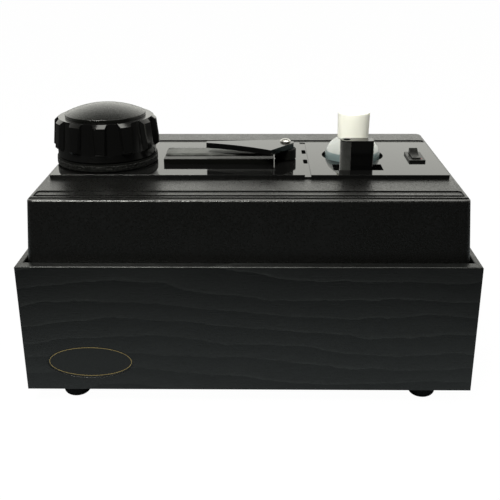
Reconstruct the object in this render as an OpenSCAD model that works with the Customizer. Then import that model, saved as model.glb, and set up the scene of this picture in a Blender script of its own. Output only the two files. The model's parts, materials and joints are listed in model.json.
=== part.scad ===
/* [Wooden cabinet] */
// Width of the cabinet
cab_w = 375; // [366:1:395]
// Depth of the cabinet
cab_d = 253; // [248:1:270]
// Height of the wooden panels
panel_h = 112.5; // [110:0.5:125]
// Thickness of the front and back panels
front_t = 9.5; // [8:0.5:11]
// Thickness of the side panels
side_t = 5; // [4:0.5:7]
// Radius of the rounded upper rims
rim_r = 1; // [0.5:0.1:1.5]
// Thickness of the base board
base_t = 6; // [5:0.5:8]
// Side of the square corner blocks
block_w = 18; // [16:1:20]
// Width and height of the cleats that carry the top housing
cleat_w = 12; // [10:0.5:14]
// Diameter of a rubber foot
foot_d = 23; // [20:0.5:26]
// Height of a rubber foot
foot_h = 15; // [13:0.5:18]
// Distance from the cabinet's side to a foot's centre
foot_in_x = 37; // [33:1:42]
// Distance from the cabinet's front to a foot's centre
foot_in_y = 22; // [20:1:26]

/* [Oval plate] */
// Width of the oval plate
badge_w = 72; // [60:1:80]
// Height of the oval plate
badge_h = 29.6; // [24:0.1:34]
// Thickness of the oval plate
badge_t = 1; // [0.8:0.1:1.4]
// Depth of the oval plate's face below the wood
badge_sink = 0.5; // [0.2:0.1:0.8]
// Distance from the cabinet's left side to the plate's centre
badge_in_x = 55.1; // [48:0.1:62]
// Height of the plate's centre above the panel's lower edge
badge_up = 26.2; // [22:0.1:32]

/* [Top housing] */
// Height of the housing above the wooden rim
house_rise = 52; // [48:0.5:58]
// Gap between the housing and a side panel
house_gap_x = 2.4; // [1.5:0.1:3]
// Gap between the housing and the front panel
house_gap_y = 0.7; // [0.4:0.1:1.2]
// Inward draft of each side over the housing's height
draft_x = 3.6; // [2:0.1:5]
// Inward draft of the front and back over the housing's height
draft_y = 2.6; // [1.5:0.1:4]
// Wall thickness of the housing
house_t = 3; // [2.5:0.1:3.5]
// Length of the skirt inside the cabinet
skirt_drop = 14; // [10:0.5:18]
// Plan radius of the housing's corners
house_corner_r = 6; // [5:0.5:9]
// Radius of the housing's upper edge
house_edge_r = 2.5; // [1.5:0.1:3]
// Width of the lower shoulder along the front edge
shoulder_w = 7; // [5:0.5:8]
// Height of the step up from the front shoulder
shoulder_h = 0.8; // [0.4:0.1:1.2]
// Width of the shallow channels in front of and behind the deck
channel_w = 16.4; // [14:0.1:18]
// Width of the deeper front half of a channel
channel_deep_w = 7.4; // [5:0.1:9]
// Depth of one step of a channel
channel_step = 0.9; // [0.5:0.1:1.1]
// Distance from the housing's front edge to the front channel
channel_front = 8.6; // [8.4:0.1:10]
// Distance from the housing's back edge to the back channel
channel_back = 29.6; // [26:0.1:31]
// Distance from the housing's side edge to a channel's end
channel_end = 3.4; // [3:0.1:6]

/* [Deck plate] */
// Distance from the housing's side edge to the deck plate
deck_in = 5; // [4:0.5:8]
// Depth of the deck plate
deck_d = 115.5; // [112:0.5:118]
// Thickness of the deck plate
deck_t = 3.2; // [3:0.1:4]
// Offset of the deck plate behind the cabinet's middle
deck_y = 3.9; // [2:0.1:5]
// Distance of the drip groove to the right of the middle
groove_x = 50.6; // [49.5:0.1:52]
// Width of the drip groove
groove_w = 5.4; // [4.8:0.1:6]
// Depth of the drip groove
groove_depth = 1.7; // [1:0.1:2]
// Width of a drain slot
drain_w = 3.8; // [3:0.1:3.9]
// Length of a drain slot
drain_l = 14; // [10:0.5:16]
// Distance between the drain slots' centres
drain_pitch = 34.6; // [32:0.1:38]

/* [Platter and spindle] */
// Distance of the spindle to the left of the middle
spin_x = 129.1; // [126:0.1:131]
// Distance of the spindle in front of the middle
spin_y = 5; // [3:0.1:7]
// Radius of the platter
platter_r = 45.1; // [43:0.1:46]
// Thickness of the platter
platter_t = 5.6; // [4.5:0.1:6.5]
// Thickness of the mat on the platter
mat_t = 1; // [0.6:0.1:1.5]
// Gap between the platter and the deck
platter_gap = 0.8; // [0.5:0.1:1.5]
// Radius of the record spindle
spindle_r = 3.6; // [3.5:0.05:3.65]
// Height of the spindle above the mat
spindle_up = 22; // [18:1:26]
// Radius of the bearing journal
journal_r = 5; // [4.5:0.1:6]
// Length of the bearing sleeve under the housing
bearing_l = 34; // [28:1:38]

/* [Clamp knob] */
// Radius of the knob at its lower rim
knob_r = 47.4; // [46:0.1:49]
// Radius of the knob at its upper rim
knob_top_r = 45; // [44:0.1:47]
// Height of the ribbed body
knob_h = 26.8; // [24:0.1:30]
// Radius of the neck under the body
neck_r = 43.9; // [42:0.1:44.5]
// Height of the neck
neck_h = 6.1; // [5:0.1:8]
// Thickness of the rubber ring under the clamp
pad_t = 1.2; // [0.8:0.1:1.6]
// Number of ribs around the knob
ribs = 12; // [10:1:14]
// Width of a rib's face at the upper rim
rib_w = 9.4; // [8:0.1:11]
// Depth of the channels between the ribs
rib_depth = 3.4; // [2.5:0.1:3.5]
// Height of the slope at a rib's upper end
rib_slope = 2.9; // [2:0.1:4]
// Height of the slope at a rib's lower end
rib_low_slope = 2.6; // [2:0.1:4]
// Angle of the first rib from straight ahead, towards the right
rib_turn = 2.6; // [0:0.1:15]
// Radius of the domed cap on the knob
cap_r = 35.7; // [34:0.1:37]
// Height of the domed cap's rim
cap_rim = 2.6; // [2:0.1:3.5]
// Rise of the domed cap above its rim
cap_dome = 8; // [6:0.1:9]

/* [Vacuum slot] */
// Distance from the spindle to the near end of the slot bar
slot_near = 52.2; // [50:0.1:54]
// Distance from the spindle to the far end of the slot bar
slot_far = 150.8; // [148:0.1:151.4]
// Width of the slot bar
bar_w = 38.4; // [37:0.1:42]
// Height of the slot bar above the deck
bar_h = 4.8; // [4:0.1:4.9]
// Offset of the slot bar's middle behind the cabinet's middle
bar_y = 0.1; // [0:0.1:2]
// Width of the suction slot
slot_w = 1.8; // [1.2:0.1:2.4]
// Distance of the slot in front of the cabinet's middle
slot_y = 4.4; // [4:0.1:6]
// Width of the rear velvet lip
rear_lip_w = 22; // [17:0.1:22.5]
// Width of the front velvet lip
front_lip_w = 1.6; // [1.2:0.1:4]
// Height of the velvet above the slot bar
lip_h = 1; // [0.7:0.1:1.3]
// Depth of the suction box under the slot
plenum_h = 24; // [20:1:28]

/* [Edge roller and arm] */
// Distance of the roller post to the right of the middle
post_x = 32.3; // [32:0.1:33.5]
// Distance of the roller post behind the middle
post_y = 0.5; // [-0.5:0.1:1.5]
// Radius of the roller
roller_r = 9.8; // [9:0.1:9.9]
// Height of the roller
roller_h = 9.4; // [8.5:0.1:10.5]
// Radius of the post
post_r = 2.5; // [2.2:0.1:3]
// Thickness of the swing arm
arm_t = 4.8; // [3:0.1:5]
// Length of the swing arm from its pivot to the tip
arm_l = 71.8; // [68:0.1:74]
// Width of the swing arm's tip
arm_tip_w = 5.7; // [5:0.1:8]
// Distance from the pivot to the arm's front corner along the arm
arm_knee_x = 13.5; // [10:0.1:16]
// Distance from the pivot to the arm's front corner across the arm
arm_knee_y = 30.9; // [27:0.1:32]
// Depth of the curve in the arm's front edge
arm_bow = 3; // [1:0.1:5]
// Radius of the domed screw head
dome_r = 4.9; // [4:0.1:5.2]
// Height of the domed screw head
dome_h = 3.1; // [2.8:0.1:4.5]

/* [Bottle] */
// Distance of the bottle to the right of the middle
bottle_x = 95; // [94:0.1:96]
// Distance of the bottle behind the middle
bottle_y = 13.4; // [13:0.1:14.5]
// Radius of the bottle
bottle_r = 25.2; // [24:0.1:25.8]
// Radius of the hole for the bottle
bottle_hole_r = 28.2; // [27.8:0.1:28.5]
// Height of the bottle's body below the deck
bottle_below = 68; // [62:1:72]
// Height of the bottle's straight body above the deck
bottle_above = 1.5; // [0:0.1:4]
// Height of the rounded shoulder
shoulder_rise = 18; // [16:0.1:22]
// Radius of the bottle's neck
bottle_neck_r = 12.6; // [11.5:0.1:12.8]
// Wall thickness of the bottle
bottle_t = 1.2; // [1:0.1:1.6]
// Radius of the bottle cap at its top
bottle_cap_r = 14.6; // [14:0.1:15.2]
// Height of the bottle cap
bottle_cap_h = 24; // [20:0.1:25]
// Level of the fluid above the deck
fluid_up = 5.4; // [-10:0.1:9]

/* [Brush] */
// Distance of the brush slot to the right of the middle
brush_x = 95.4; // [94.5:0.1:96.5]
// Distance of the brush slot in front of the middle
brush_y = 29.2; // [28.8:0.1:30]
// Width of the brush slot
brush_slot_w = 43.3; // [41:0.1:44]
// Depth of the brush slot
brush_slot_d = 19.4; // [19:0.1:19.8]
// Width of the brush
brush_w = 29; // [27:0.1:30]
// Depth of the brush
brush_d = 11.6; // [10:0.1:14]
// Height of the brush above the deck
brush_up = 25.9; // [23:0.1:28]
// Length of the brush below the deck
brush_down = 66; // [60:1:70]
// Distance of the brush's middle to the left of its slot's middle
brush_shift = 2; // [0:0.1:3]
// Width of the velvet pad
brush_pad_w = 9.4; // [8:0.1:11]
// Thickness of the velvet pad
brush_pad_t = 1.8; // [1.2:0.1:2.4]
// Radius of the brush's right-hand corners
brush_corner = 3; // [2:0.1:4]
// Radius of the hole in the top of the brush's nose
brush_hole_r = 3; // [2:0.1:3.5]
// Depth of the hole in the top of the brush's nose
brush_hole_h = 4; // [3:0.1:8]

/* [Switch] */
// Distance of the switch to the right of the middle
switch_x = 151; // [150:0.1:152]
// Distance of the switch behind the middle
switch_y = 2.3; // [0:0.1:4]
// Width of the switch bezel
bezel_w = 14.6; // [13.8:0.1:15.5]
// Depth of the switch bezel
bezel_d = 30.4; // [26:0.1:32]
// Height of the switch bezel
bezel_h = 2; // [1.5:0.1:2.5]
// Width of the rocker
rocker_w = 7.6; // [7:0.1:8.5]
// Distance of the rocker to the left of the bezel's middle
rocker_shift = 0.3; // [0:0.1:1]
// Length of the rocker
rocker_l = 21; // [18:0.1:22]
// Height of the rocker's finger face above its pivot
rocker_tall = 4.6; // [4:0.1:5]
// Tilt of the rocker to either side
rocker_tilt = 12; // [8:0.5:13]

/* [Vacuum unit] */
// Height of the motor axis above the base board
motor_up = 60; // [58:1:64]
// Distance of the fan's inlet face to the left of the middle
fan_face_x = 44; // [42:1:48]
// Radius of the fan housing
fan_case_r = 54; // [50:1:56]
// Length of the fan housing
fan_case_l = 34; // [30:1:38]
// Radius of the impeller
impeller_r = 46; // [42:1:48]
// Number of impeller blades
blades = 8; // [6:1:10]
// Radius of the motor can
can_r = 40; // [36:1:42]
// Length of the motor can
can_l = 72; // [66:1:78]
// Radius of the motor shaft
shaft_r = 4; // [3.5:0.1:5]
// Distance from the waste tank to the right panel
tank_in_x = 15.5; // [14:0.5:30]
// Distance from the waste tank to the front and back panels
tank_in_y = 42; // [38:1:48]
// Height of the waste tank
tank_h = 78; // [76:1:80]
// Wall thickness of the waste tank
tank_t = 2.5; // [2:0.1:3]
// Radius of the suction hose's bore
hose_r = 11; // [9:0.5:12]

/* [Hidden] */
$fn = 96;
// Gap left between pieces that move past each other
play = 0.3;
// Radial running clearance of shafts and bushes
run = 0.05;
// Open joint between two inner wooden pieces
joint_gap = 0.2;
// Overshoot of a cutting shape
cut = 1;
small_fn = 32;

base_z = foot_h;
floor_z = base_z + base_t;
rim_z = base_z + panel_h;
house_z = rim_z + house_rise;
under_z = house_z - house_t;
deck_z = house_z + deck_t;
skirt_z = rim_z - skirt_drop;

inner_w = cab_w - 2 * side_t;
inner_d = cab_d - 2 * front_t;
skirt_w = inner_w - 2 * house_gap_x;
skirt_d = inner_d - 2 * house_gap_y;
top_w = skirt_w - 2 * draft_x;
top_d = skirt_d - 2 * draft_y;
deck_w = top_w - 2 * deck_in;
channel_l = top_w - 2 * channel_end;
channel_front_y = -top_d / 2 + channel_front;
channel_back_y = top_d / 2 - channel_back - channel_w;

spin_at = [-spin_x, -spin_y];
platter_z = deck_z + platter_gap;
mat_z = platter_z + platter_t;
record_z = mat_z + mat_t;
spindle_top = record_z + spindle_up;
bearing_r = 11;
bearing_flange_r = 22;
bearing_flange_t = 4;
clip_t = 1.5;
hub_r = 12;
hub_t = platter_gap;

pad_z = record_z + 0.15;
neck_z = pad_z + pad_t;
body_z = neck_z + neck_h;
knob_z = body_z + knob_h;
cap_z = knob_z + cap_rim;
bush_r = 8;
knob_bore_top = spindle_top + 3;

bar_l = slot_far - slot_near;
bar_x = -spin_x + slot_near + bar_l / 2;
slot_l = bar_l - 8;
bar_z = deck_z + bar_h;
throat_w = 8;
plenum_t = 2;
plenum_w = 20;
plenum_flange = 4;
hose_x = -6;
hose_y = -slot_y;
plenum_z = under_z - plenum_h;

collar_h = 0.5;
roller_z = deck_z + collar_h + 0.1;
washer_t = 0.6;
washer_z = roller_z + roller_h + 0.15;
arm_z = washer_z + washer_t + 0.1;
arm_top = arm_z + arm_t;
roller_bush_r = 5;
screw_r = 1.5;
nut_r = 5.5;
nut_h = 4;

bottle_z = deck_z - bottle_below;
shoulder_z = deck_z + bottle_above;
neck_base_z = shoulder_z + shoulder_rise * sqrt(1 - pow(bottle_neck_r / bottle_r, 2));
cap_base_z = shoulder_z + shoulder_rise * sqrt(1 - pow((bottle_neck_r + play) / bottle_r, 2)) + 0.2;
cap_top_z = cap_base_z + bottle_cap_h;
cap_wall = 2.5;
spout_up = 3.5;
neck_top_z = cap_top_z - cap_wall - spout_up - 1 - play;
well_r = bottle_hole_r - 1;
well_t = 1.6;
well_flange = 3.5;

handle_z = deck_z - brush_down;
brush_top = deck_z + brush_up;
brush_cx = brush_x - brush_shift;
brush_cy = -brush_y - (brush_slot_d - brush_d) / 2 + play;

pivot_z = deck_z + 0.6;
switch_body_w = bezel_w - 1.6;
switch_body_d = bezel_d - 3;
switch_body_h = 18;

axis_z = floor_z + motor_up;
fan_case_x = -fan_face_x - fan_case_l;
can_x = fan_case_x - can_l;
case_t = 2.5;
inlet_r = hose_r + 2;
spigot_l = 10;
tank_x = -fan_face_x + spigot_l + 1;
tank_w = inner_w / 2 - tank_in_x - tank_x;
tank_d = inner_d - 2 * tank_in_y;
tank_cx = tank_x + tank_w / 2;
tank_floor_z = floor_z + 1.5;
lid_z = tank_floor_z + tank_h;
lid_t = 3;
drain_x = tank_x + 0.75 * tank_w;
drain_y = -0.3 * tank_d;
drain_r = 8;

inlet_x = 60;
inlet_up = 34;
inlet_z = floor_z + inlet_up;

// A block centred on x and y, standing on z = 0, with round upright edges
module rounded_block(w, d, h, r) {
    linear_extrude(h) {
        square([w - 2 * r, d], center = true);
        square([w, d - 2 * r], center = true);
        for (sx = [-1, 1], sy = [-1, 1])
            translate([sx * (w / 2 - r), sy * (d / 2 - r)]) circle(r);
    }
}

module block(w, d, h) {
    translate([-w / 2, -d / 2, 0]) cube([w, d, h]);
}

module ring(r_out, r_in, h) {
    difference() {
        cylinder(r = r_out, h = h);
        translate([0, 0, -cut]) cylinder(r = r_in, h = h + 2 * cut);
    }
}

module pan_screw(head_r, head_h, shank_r, shank_l) {
    cylinder(r = head_r, h = head_h, $fn = small_fn);
    translate([0, 0, -shank_l]) cylinder(r = shank_r, h = shank_l, $fn = small_fn);
}

module in_corners(x, y) {
    for (sx = [-1, 1], sy = [-1, 1]) translate([sx * x, sy * y, 0]) children();
}

module ellipse_plate(w, h, t) {
    sides = 72;
    linear_extrude(t)
        polygon([for (i = [0 : sides - 1]) [w / 2 * cos(i * 360 / sides), h / 2 * sin(i * 360 / sides)]]);
}

// Section of a wooden panel, its outer face on the first axis's zero, with round upper edges
module panel_section(t) {
    square([t, panel_h - rim_r]);
    translate([rim_r, 0]) square([t - 2 * rim_r, panel_h]);
    for (x = [rim_r, t - rim_r]) translate([x, panel_h - rim_r]) circle(rim_r);
}

module front_mitre() {
    polygon([
        [-cab_w / 2, -cab_d / 2], [cab_w / 2, -cab_d / 2],
        [cab_w / 2 - side_t, -cab_d / 2 + front_t], [-cab_w / 2 + side_t, -cab_d / 2 + front_t]
    ]);
}

module side_mitre() {
    polygon([
        [-cab_w / 2, -cab_d / 2], [-cab_w / 2 + side_t, -cab_d / 2 + front_t],
        [-cab_w / 2 + side_t, cab_d / 2 - front_t], [-cab_w / 2, cab_d / 2]
    ]);
}

module plain_front() {
    translate([0, 0, base_z]) intersection() {
        translate([-cab_w / 2, -cab_d / 2, 0])
            rotate([90, 0, 90]) linear_extrude(cab_w) panel_section(front_t);
        linear_extrude(panel_h) front_mitre();
    }
}

module plain_side() {
    translate([0, 0, base_z]) intersection() {
        translate([-cab_w / 2, cab_d / 2, 0])
            rotate([90, 0, 0]) linear_extrude(cab_d) panel_section(side_t);
        linear_extrude(panel_h) side_mitre();
    }
}

module at_badge() {
    translate([-cab_w / 2 + badge_in_x, -cab_d / 2 + badge_sink + badge_t, base_z + badge_up])
        rotate([90, 0, 0]) children();
}

module front_panel() {
    color("#26292a") difference() {
        plain_front();
        at_badge() ellipse_plate(badge_w + 0.2, badge_h + 0.2, badge_sink + badge_t + cut);
    }
}

module oval_plate() {
    color("#17130e") at_badge() ellipse_plate(badge_w, badge_h, badge_t);
}

inlet_flange_w = 50;
inlet_flange_h = 23;
inlet_flange_t = 2.5;
inlet_body_w = 27.5;
inlet_body_h = 20;
inlet_body_d = 20;
inlet_screw_gap = 40;

module at_inlet() {
    translate([inlet_x, cab_d / 2, inlet_z]) rotate([-90, 0, 0]) children();
}

module back_panel() {
    color("#26292a") difference() {
        mirror([0, 1, 0]) plain_front();
        at_inlet() {
            translate([0, 0, -inlet_flange_t]) rounded_block(inlet_flange_w + 0.4, inlet_flange_h + 0.4, cut + inlet_flange_t, 3);
            translate([0, 0, -front_t - cut]) block(inlet_body_w + 0.6, inlet_body_h + 0.6, front_t + 2 * cut);
            for (s = [-1, 1]) translate([s * inlet_screw_gap / 2, 0, -front_t - cut])
                cylinder(r = 1.55, h = front_t + cut, $fn = small_fn);
        }
    }
}

module left_panel() {
    color("#26292a") plain_side();
}

module right_panel() {
    color("#26292a") mirror([1, 0, 0]) plain_side();
}

foot_x = cab_w / 2 - foot_in_x;
foot_y = cab_d / 2 - foot_in_y;
block_x = inner_w / 2 - block_w / 2;
block_y = inner_d / 2 - block_w / 2;
vent_w = 3.6;
vent_l = 30;
vent_pitch = 7;
vents = 4;
vent_x = fan_case_x + fan_case_l / 2;

module base_board() {
    color("#3a3733") translate([0, 0, base_z]) difference() {
        block(inner_w, inner_d, base_t);
        in_corners(foot_x, foot_y) translate([0, 0, -cut]) cylinder(r = 2, h = base_t + 2 * cut, $fn = small_fn);
        in_corners(block_x, block_y) translate([0, 0, -cut]) cylinder(r = 2, h = base_t + 2 * cut, $fn = small_fn);
        translate([drain_x, drain_y, -cut]) cylinder(r = drain_r + 2, h = base_t + 2 * cut);
        for (i = [0 : vents - 1])
            translate([vent_x + (i - (vents - 1) / 2) * vent_pitch, 0, -cut])
                rounded_block(vent_w, vent_l, base_t + 2 * cut, vent_w / 2 - 0.1);
    }
}

module corner_blocks() {
    color("#8a7455") difference() {
        in_corners(block_x, block_y) translate([0, 0, floor_z])
            block(block_w, block_w, skirt_z - cleat_w - floor_z);
        in_corners(block_x, block_y) translate([0, 0, floor_z - cut])
            cylinder(r = 1.8, h = block_screw_l + 1 + cut, $fn = small_fn);
    }
}

module support_cleats() {
    side_l = inner_d - 2 * cleat_w - 2 * joint_gap;
    color("#8a7455") translate([0, 0, skirt_z - cleat_w]) difference() {
        union() {
            for (s = [-1, 1]) {
                translate([0, s * (inner_d - cleat_w) / 2, 0]) block(inner_w, cleat_w, cleat_w);
                translate([s * (inner_w - cleat_w) / 2, 0, 0]) block(cleat_w, side_l, cleat_w);
            }
        }
        at_brackets() translate([0, bracket_leg / 2, cleat_w - bracket_screw_l])
            cylinder(r = 1.2, h = bracket_screw_l + cut, $fn = small_fn);
    }
}

foot_round = 5;
block_screw_l = 13;
foot_hole_r = 4.4;
foot_hole_h = 8;

module rubber_feet() {
    color("#151515") in_corners(foot_x, foot_y) difference() {
        rotate_extrude() {
            square([foot_d / 2 - foot_round, foot_h]);
            translate([0, foot_round]) square([foot_d / 2, foot_h - foot_round]);
            translate([foot_d / 2 - foot_round, foot_round]) intersection() {
                circle(foot_round);
                translate([0, -foot_round]) square(foot_round);
            }
        }
        translate([0, 0, -cut]) cylinder(r = foot_hole_r, h = foot_hole_h + cut);
        translate([0, 0, -cut]) cylinder(r = 2, h = foot_h + 2 * cut, $fn = small_fn);
    }
}

module base_screws() {
    color("silver") {
        in_corners(foot_x, foot_y) translate([0, 0, foot_hole_h]) mirror([0, 0, 1])
            pan_screw(3.8, 2.6, 1.9, foot_h - foot_hole_h + base_t);
        in_corners(block_x, block_y) translate([0, 0, base_z]) mirror([0, 0, 1])
            pan_screw(3.6, 2.2, 1.7, base_t + block_screw_l);
    }
}

// One corner of the housing's upper edge, a quarter round turned about the corner's axis
module housing_corner(r, edge) {
    rotate_extrude($fn = 32) {
        square([r - edge, edge]);
        intersection() {
            translate([r - edge, 0]) circle(edge, $fn = 24);
            square([r, edge]);
        }
    }
}

// The housing's closed form, set in by a wall's thickness
module housing_form(inset, edge, reach) {
    r = house_corner_r - inset;
    hull() {
        translate([0, 0, house_z - inset - edge])
            in_corners(top_w / 2 - house_corner_r, top_d / 2 - house_corner_r) housing_corner(r, edge);
        translate([0, 0, skirt_z - reach])
            in_corners(skirt_w / 2 - house_corner_r, skirt_d / 2 - house_corner_r)
                cylinder(r = r, h = skirt_drop + reach, $fn = 32);
    }
}

module channel(y) {
    r = 3;
    translate([0, y + channel_w / 2, house_z - channel_step])
        rounded_block(channel_l, channel_w, channel_step + cut, r);
    translate([0, y + channel_deep_w / 2, house_z - 2 * channel_step])
        rounded_block(channel_l, channel_deep_w, channel_step + cut, r);
}

// Upright hole shapes that pass through both the deck and the housing
module top_openings(z, h) {
    translate([0, 0, z]) {
        translate([bottle_x, bottle_y, 0]) cylinder(r = bottle_hole_r, h = h);
        translate([brush_x, -brush_y, 0]) block(brush_slot_w, brush_slot_d, h);
        translate([-spin_x, -spin_y, 0]) cylinder(r = journal_r + 1, h = h);
        translate([bar_x, -slot_y, 0]) block(slot_l, throat_w, h);
        translate([post_x, post_y, 0]) cylinder(r = post_r + run, h = h);
        translate([switch_x, switch_y, 0]) block(switch_body_w + 0.4, switch_body_d + 0.4, h);
        at_drains() rounded_block(drain_w, drain_l, h, drain_w / 2 - 0.1);
    }
}

drain_mid_y = bottle_y;

module at_drains() {
    for (s = [-1, 1]) translate([groove_x, drain_mid_y + s * drain_pitch / 2, 0]) children();
}

shoulder_reach = 25;

module top_housing() {
    color("#2c2d2e") difference() {
        housing_form(0, house_edge_r, 0);
        translate([0, -top_d / 2 + shoulder_w - shoulder_reach, house_z - shoulder_h])
            block(cab_w, 2 * shoulder_reach, shoulder_h + cut);
        channel(channel_front_y);
        channel(channel_back_y);
        housing_form(house_t, 0.5, cut);
        top_openings(under_z - cut, house_t + 2 * cut);
    }
}

bracket_t = 1.5;
bracket_leg = 8;
bracket_w = 12;
bracket_h = 12;
bracket_screw_l = 9;

// Places a bracket at four points of the skirt's inner face, its vertical leg on the skirt
module at_brackets() {
    for (sx = [-1, 1], sy = [0, 1]) mirror([0, sy, 0])
        translate([sx * cab_w / 4, -skirt_d / 2 + house_t, 0]) children();
}

module housing_brackets() {
    color("silver") translate([0, 0, skirt_z]) at_brackets() difference() {
        union() {
            translate([0, bracket_t / 2, 0]) block(bracket_w, bracket_t, bracket_h);
            translate([0, bracket_leg / 2, 0]) block(bracket_w, bracket_leg, bracket_t);
        }
        translate([0, bracket_leg / 2, -cut]) cylinder(r = 1.6, h = bracket_t + 2 * cut, $fn = small_fn);
        translate([0, -cut, 7]) rotate([-90, 0, 0]) cylinder(r = 1.6, h = bracket_t + 2 * cut, $fn = small_fn);
    }
}

module bracket_screws() {
    color("gray") translate([0, 0, skirt_z + bracket_t]) at_brackets()
        translate([0, bracket_leg / 2, 0]) pan_screw(2.4, 1.6, 1.1, bracket_screw_l);
}

module deck_plate() {
    color("#0b0c0d") difference() {
        translate([0, deck_y, house_z]) rounded_block(deck_w, deck_d, deck_t, 1);
        translate([groove_x, deck_y, deck_z - groove_depth]) block(groove_w, deck_d + 2 * cut, groove_depth + cut);
        top_openings(house_z - cut, deck_t + 2 * cut);
    }
}

module at_spindle(z) {
    translate([-spin_x, -spin_y, z]) children();
}

module platter() {
    color("#202122") at_spindle(platter_z) difference() {
        rounded_disc(platter_r, platter_t, 1);
        translate([0, 0, -cut]) cylinder(r = journal_r, h = platter_t + 2 * cut);
    }
}

// A disc whose lower and upper outer edges are rounded
module rounded_disc(r, h, edge) {
    rotate_extrude() {
        square([r - edge, h]);
        translate([0, edge]) square([r, h - 2 * edge]);
        for (z = [edge, h - edge]) translate([r - edge, z]) circle(edge, $fn = 32);
    }
}

module platter_mat() {
    color("#3a3b3c") at_spindle(mat_z) ring(platter_r - 0.2, hub_r, mat_t);
}

module spindle() {
    color("silver") at_spindle(0) {
        translate([0, 0, under_z - bearing_l - 5]) difference() {
            cylinder(r = journal_r, h = mat_z + 0.4 - under_z + bearing_l + 5);
            translate([0, 0, 2]) ring(journal_r + cut, journal_r - 1, clip_t + 0.1);
        }
        translate([0, 0, mat_z]) cylinder(r = hub_r - 0.3, h = mat_t);
        translate([0, 0, mat_z]) cylinder(r = spindle_r, h = spindle_top - mat_z - 2);
        translate([0, 0, spindle_top - 2]) cylinder(r1 = spindle_r, r2 = spindle_r - 1.4, h = 2);
    }
}

module spindle_clip() {
    color("gray") at_spindle(under_z - bearing_l - 3 + 0.05) ring(journal_r + 3, journal_r - 1 + run, clip_t);
}

module spindle_bearing() {
    color("#b08d4a") at_spindle(under_z - bearing_l) difference() {
        union() {
            cylinder(r = bearing_r, h = bearing_l);
            translate([0, 0, bearing_l - bearing_flange_t]) cylinder(r = bearing_flange_r, h = bearing_flange_t);
        }
        translate([0, 0, -cut]) cylinder(r = journal_r + run, h = bearing_l + 2 * cut);
    }
}

// Outside of the ribs as one turned form, sloping in at both ends
module rib_envelope() {
    rotate_extrude() polygon([
        [0, body_z], [knob_r - rib_depth, body_z], [knob_r, body_z + rib_low_slope],
        [knob_top_r, knob_z - rib_slope], [knob_top_r - rib_depth, knob_z], [0, knob_z]
    ]);
}

// One rib seen from above, pointing to the front and widening towards its root
module rib_plan() {
    far = knob_r + 1;
    root = knob_top_r - rib_depth - 1;
    flank = 0.4;
    far_w = rib_w - 2 * flank * (far - knob_top_r);
    root_w = rib_w + 2 * flank * (knob_top_r - root);
    polygon([[-far_w / 2, -far], [far_w / 2, -far], [root_w / 2, -root], [-root_w / 2, -root]]);
}

module clamp_knob() {
    color("#0d0d0e") at_spindle(0) difference() {
        union() {
            translate([0, 0, neck_z]) cylinder(r = neck_r, h = neck_h + 1);
            translate([0, 0, body_z]) cylinder(r1 = knob_r - rib_depth, r2 = knob_top_r - rib_depth, h = knob_h);
            intersection() {
                rib_envelope();
                translate([0, 0, body_z]) linear_extrude(knob_h)
                    for (i = [0 : ribs - 1]) rotate(rib_turn + i * 360 / ribs) rib_plan();
            }
        }
        translate([0, 0, neck_z - cut]) cylinder(r = bush_r, h = knob_bore_top - neck_z + cut);
    }
}

module knob_bush() {
    color("#b08d4a") at_spindle(neck_z) difference() {
        cylinder(r = bush_r, h = knob_bore_top - neck_z);
        translate([0, 0, -cut]) cylinder(r = spindle_r + run, h = spindle_top - neck_z + 1 + cut);
    }
}

// Section of a round piece with a straight rim and a domed top
module domed_section(r, rim, dome) {
    dome_r = (pow(r, 2) + pow(dome, 2)) / (2 * dome);
    square([r, rim]);
    intersection() {
        translate([0, rim + dome - dome_r]) circle(dome_r, $fn = 180);
        translate([0, rim / 2]) square([r, rim + dome]);
    }
}

module knob_cap() {
    color("#28292a") at_spindle(knob_z) rotate_extrude() domed_section(cap_r, cap_rim, cap_dome);
}

module clamp_pad() {
    color("#1c1c1c") at_spindle(pad_z) ring(neck_r - 2, hub_r + 4, pad_t);
}

module slot_bar() {
    color("#0e0f10") difference() {
        union() {
            translate([bar_x, bar_y, deck_z]) block(bar_l, bar_w, bar_h);
            translate([bar_x, -slot_y, under_z]) block(slot_l - 0.4, throat_w - 0.4, deck_z - under_z);
        }
        translate([bar_x, -slot_y, under_z - cut]) block(slot_l - 6, slot_w, bar_z - under_z + 2 * cut);
    }
}

module rear_velvet_lip() {
    color("#4a4b4c") translate([bar_x, -slot_y + slot_w / 2 + rear_lip_w / 2, bar_z])
        rounded_block(bar_l - 1, rear_lip_w, lip_h, 0.4);
}

module front_velvet_lip() {
    color("#4a4b4c") translate([bar_x, -slot_y - slot_w / 2 - front_lip_w / 2, bar_z])
        rounded_block(bar_l - 1, front_lip_w, lip_h, 0.4);
}

// Open box under the housing that gathers the slot's air, with a spigot for the hose
module suction_box() {
    inside = plenum_w - 2 * plenum_t;
    color("#3b3d40") difference() {
        union() {
            translate([bar_x, -slot_y, plenum_z]) block(slot_l + 2 * plenum_t, plenum_w, plenum_h);
            translate([bar_x, -slot_y, under_z - plenum_t])
                block(slot_l + 2 * plenum_t + plenum_flange, plenum_w + 2 * plenum_flange, plenum_t);
            translate([hose_x, hose_y, plenum_z - spigot_l]) cylinder(r = hose_r, h = spigot_l + plenum_t);
        }
        translate([bar_x, -slot_y, plenum_z + plenum_t]) block(slot_l, inside, plenum_h);
        translate([hose_x, hose_y, plenum_z - spigot_l - cut])
            cylinder(r = hose_r - plenum_t, h = spigot_l + plenum_t + 2 * cut);
    }
}

module suction_hose() {
    hose_top = plenum_z;
    hose_low = lid_z + lid_t;
    color("#202020") translate([hose_x, hose_y, hose_low])
        ring(hose_r + 2.4, hose_r + 0.05, hose_top - hose_low);
}

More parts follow.
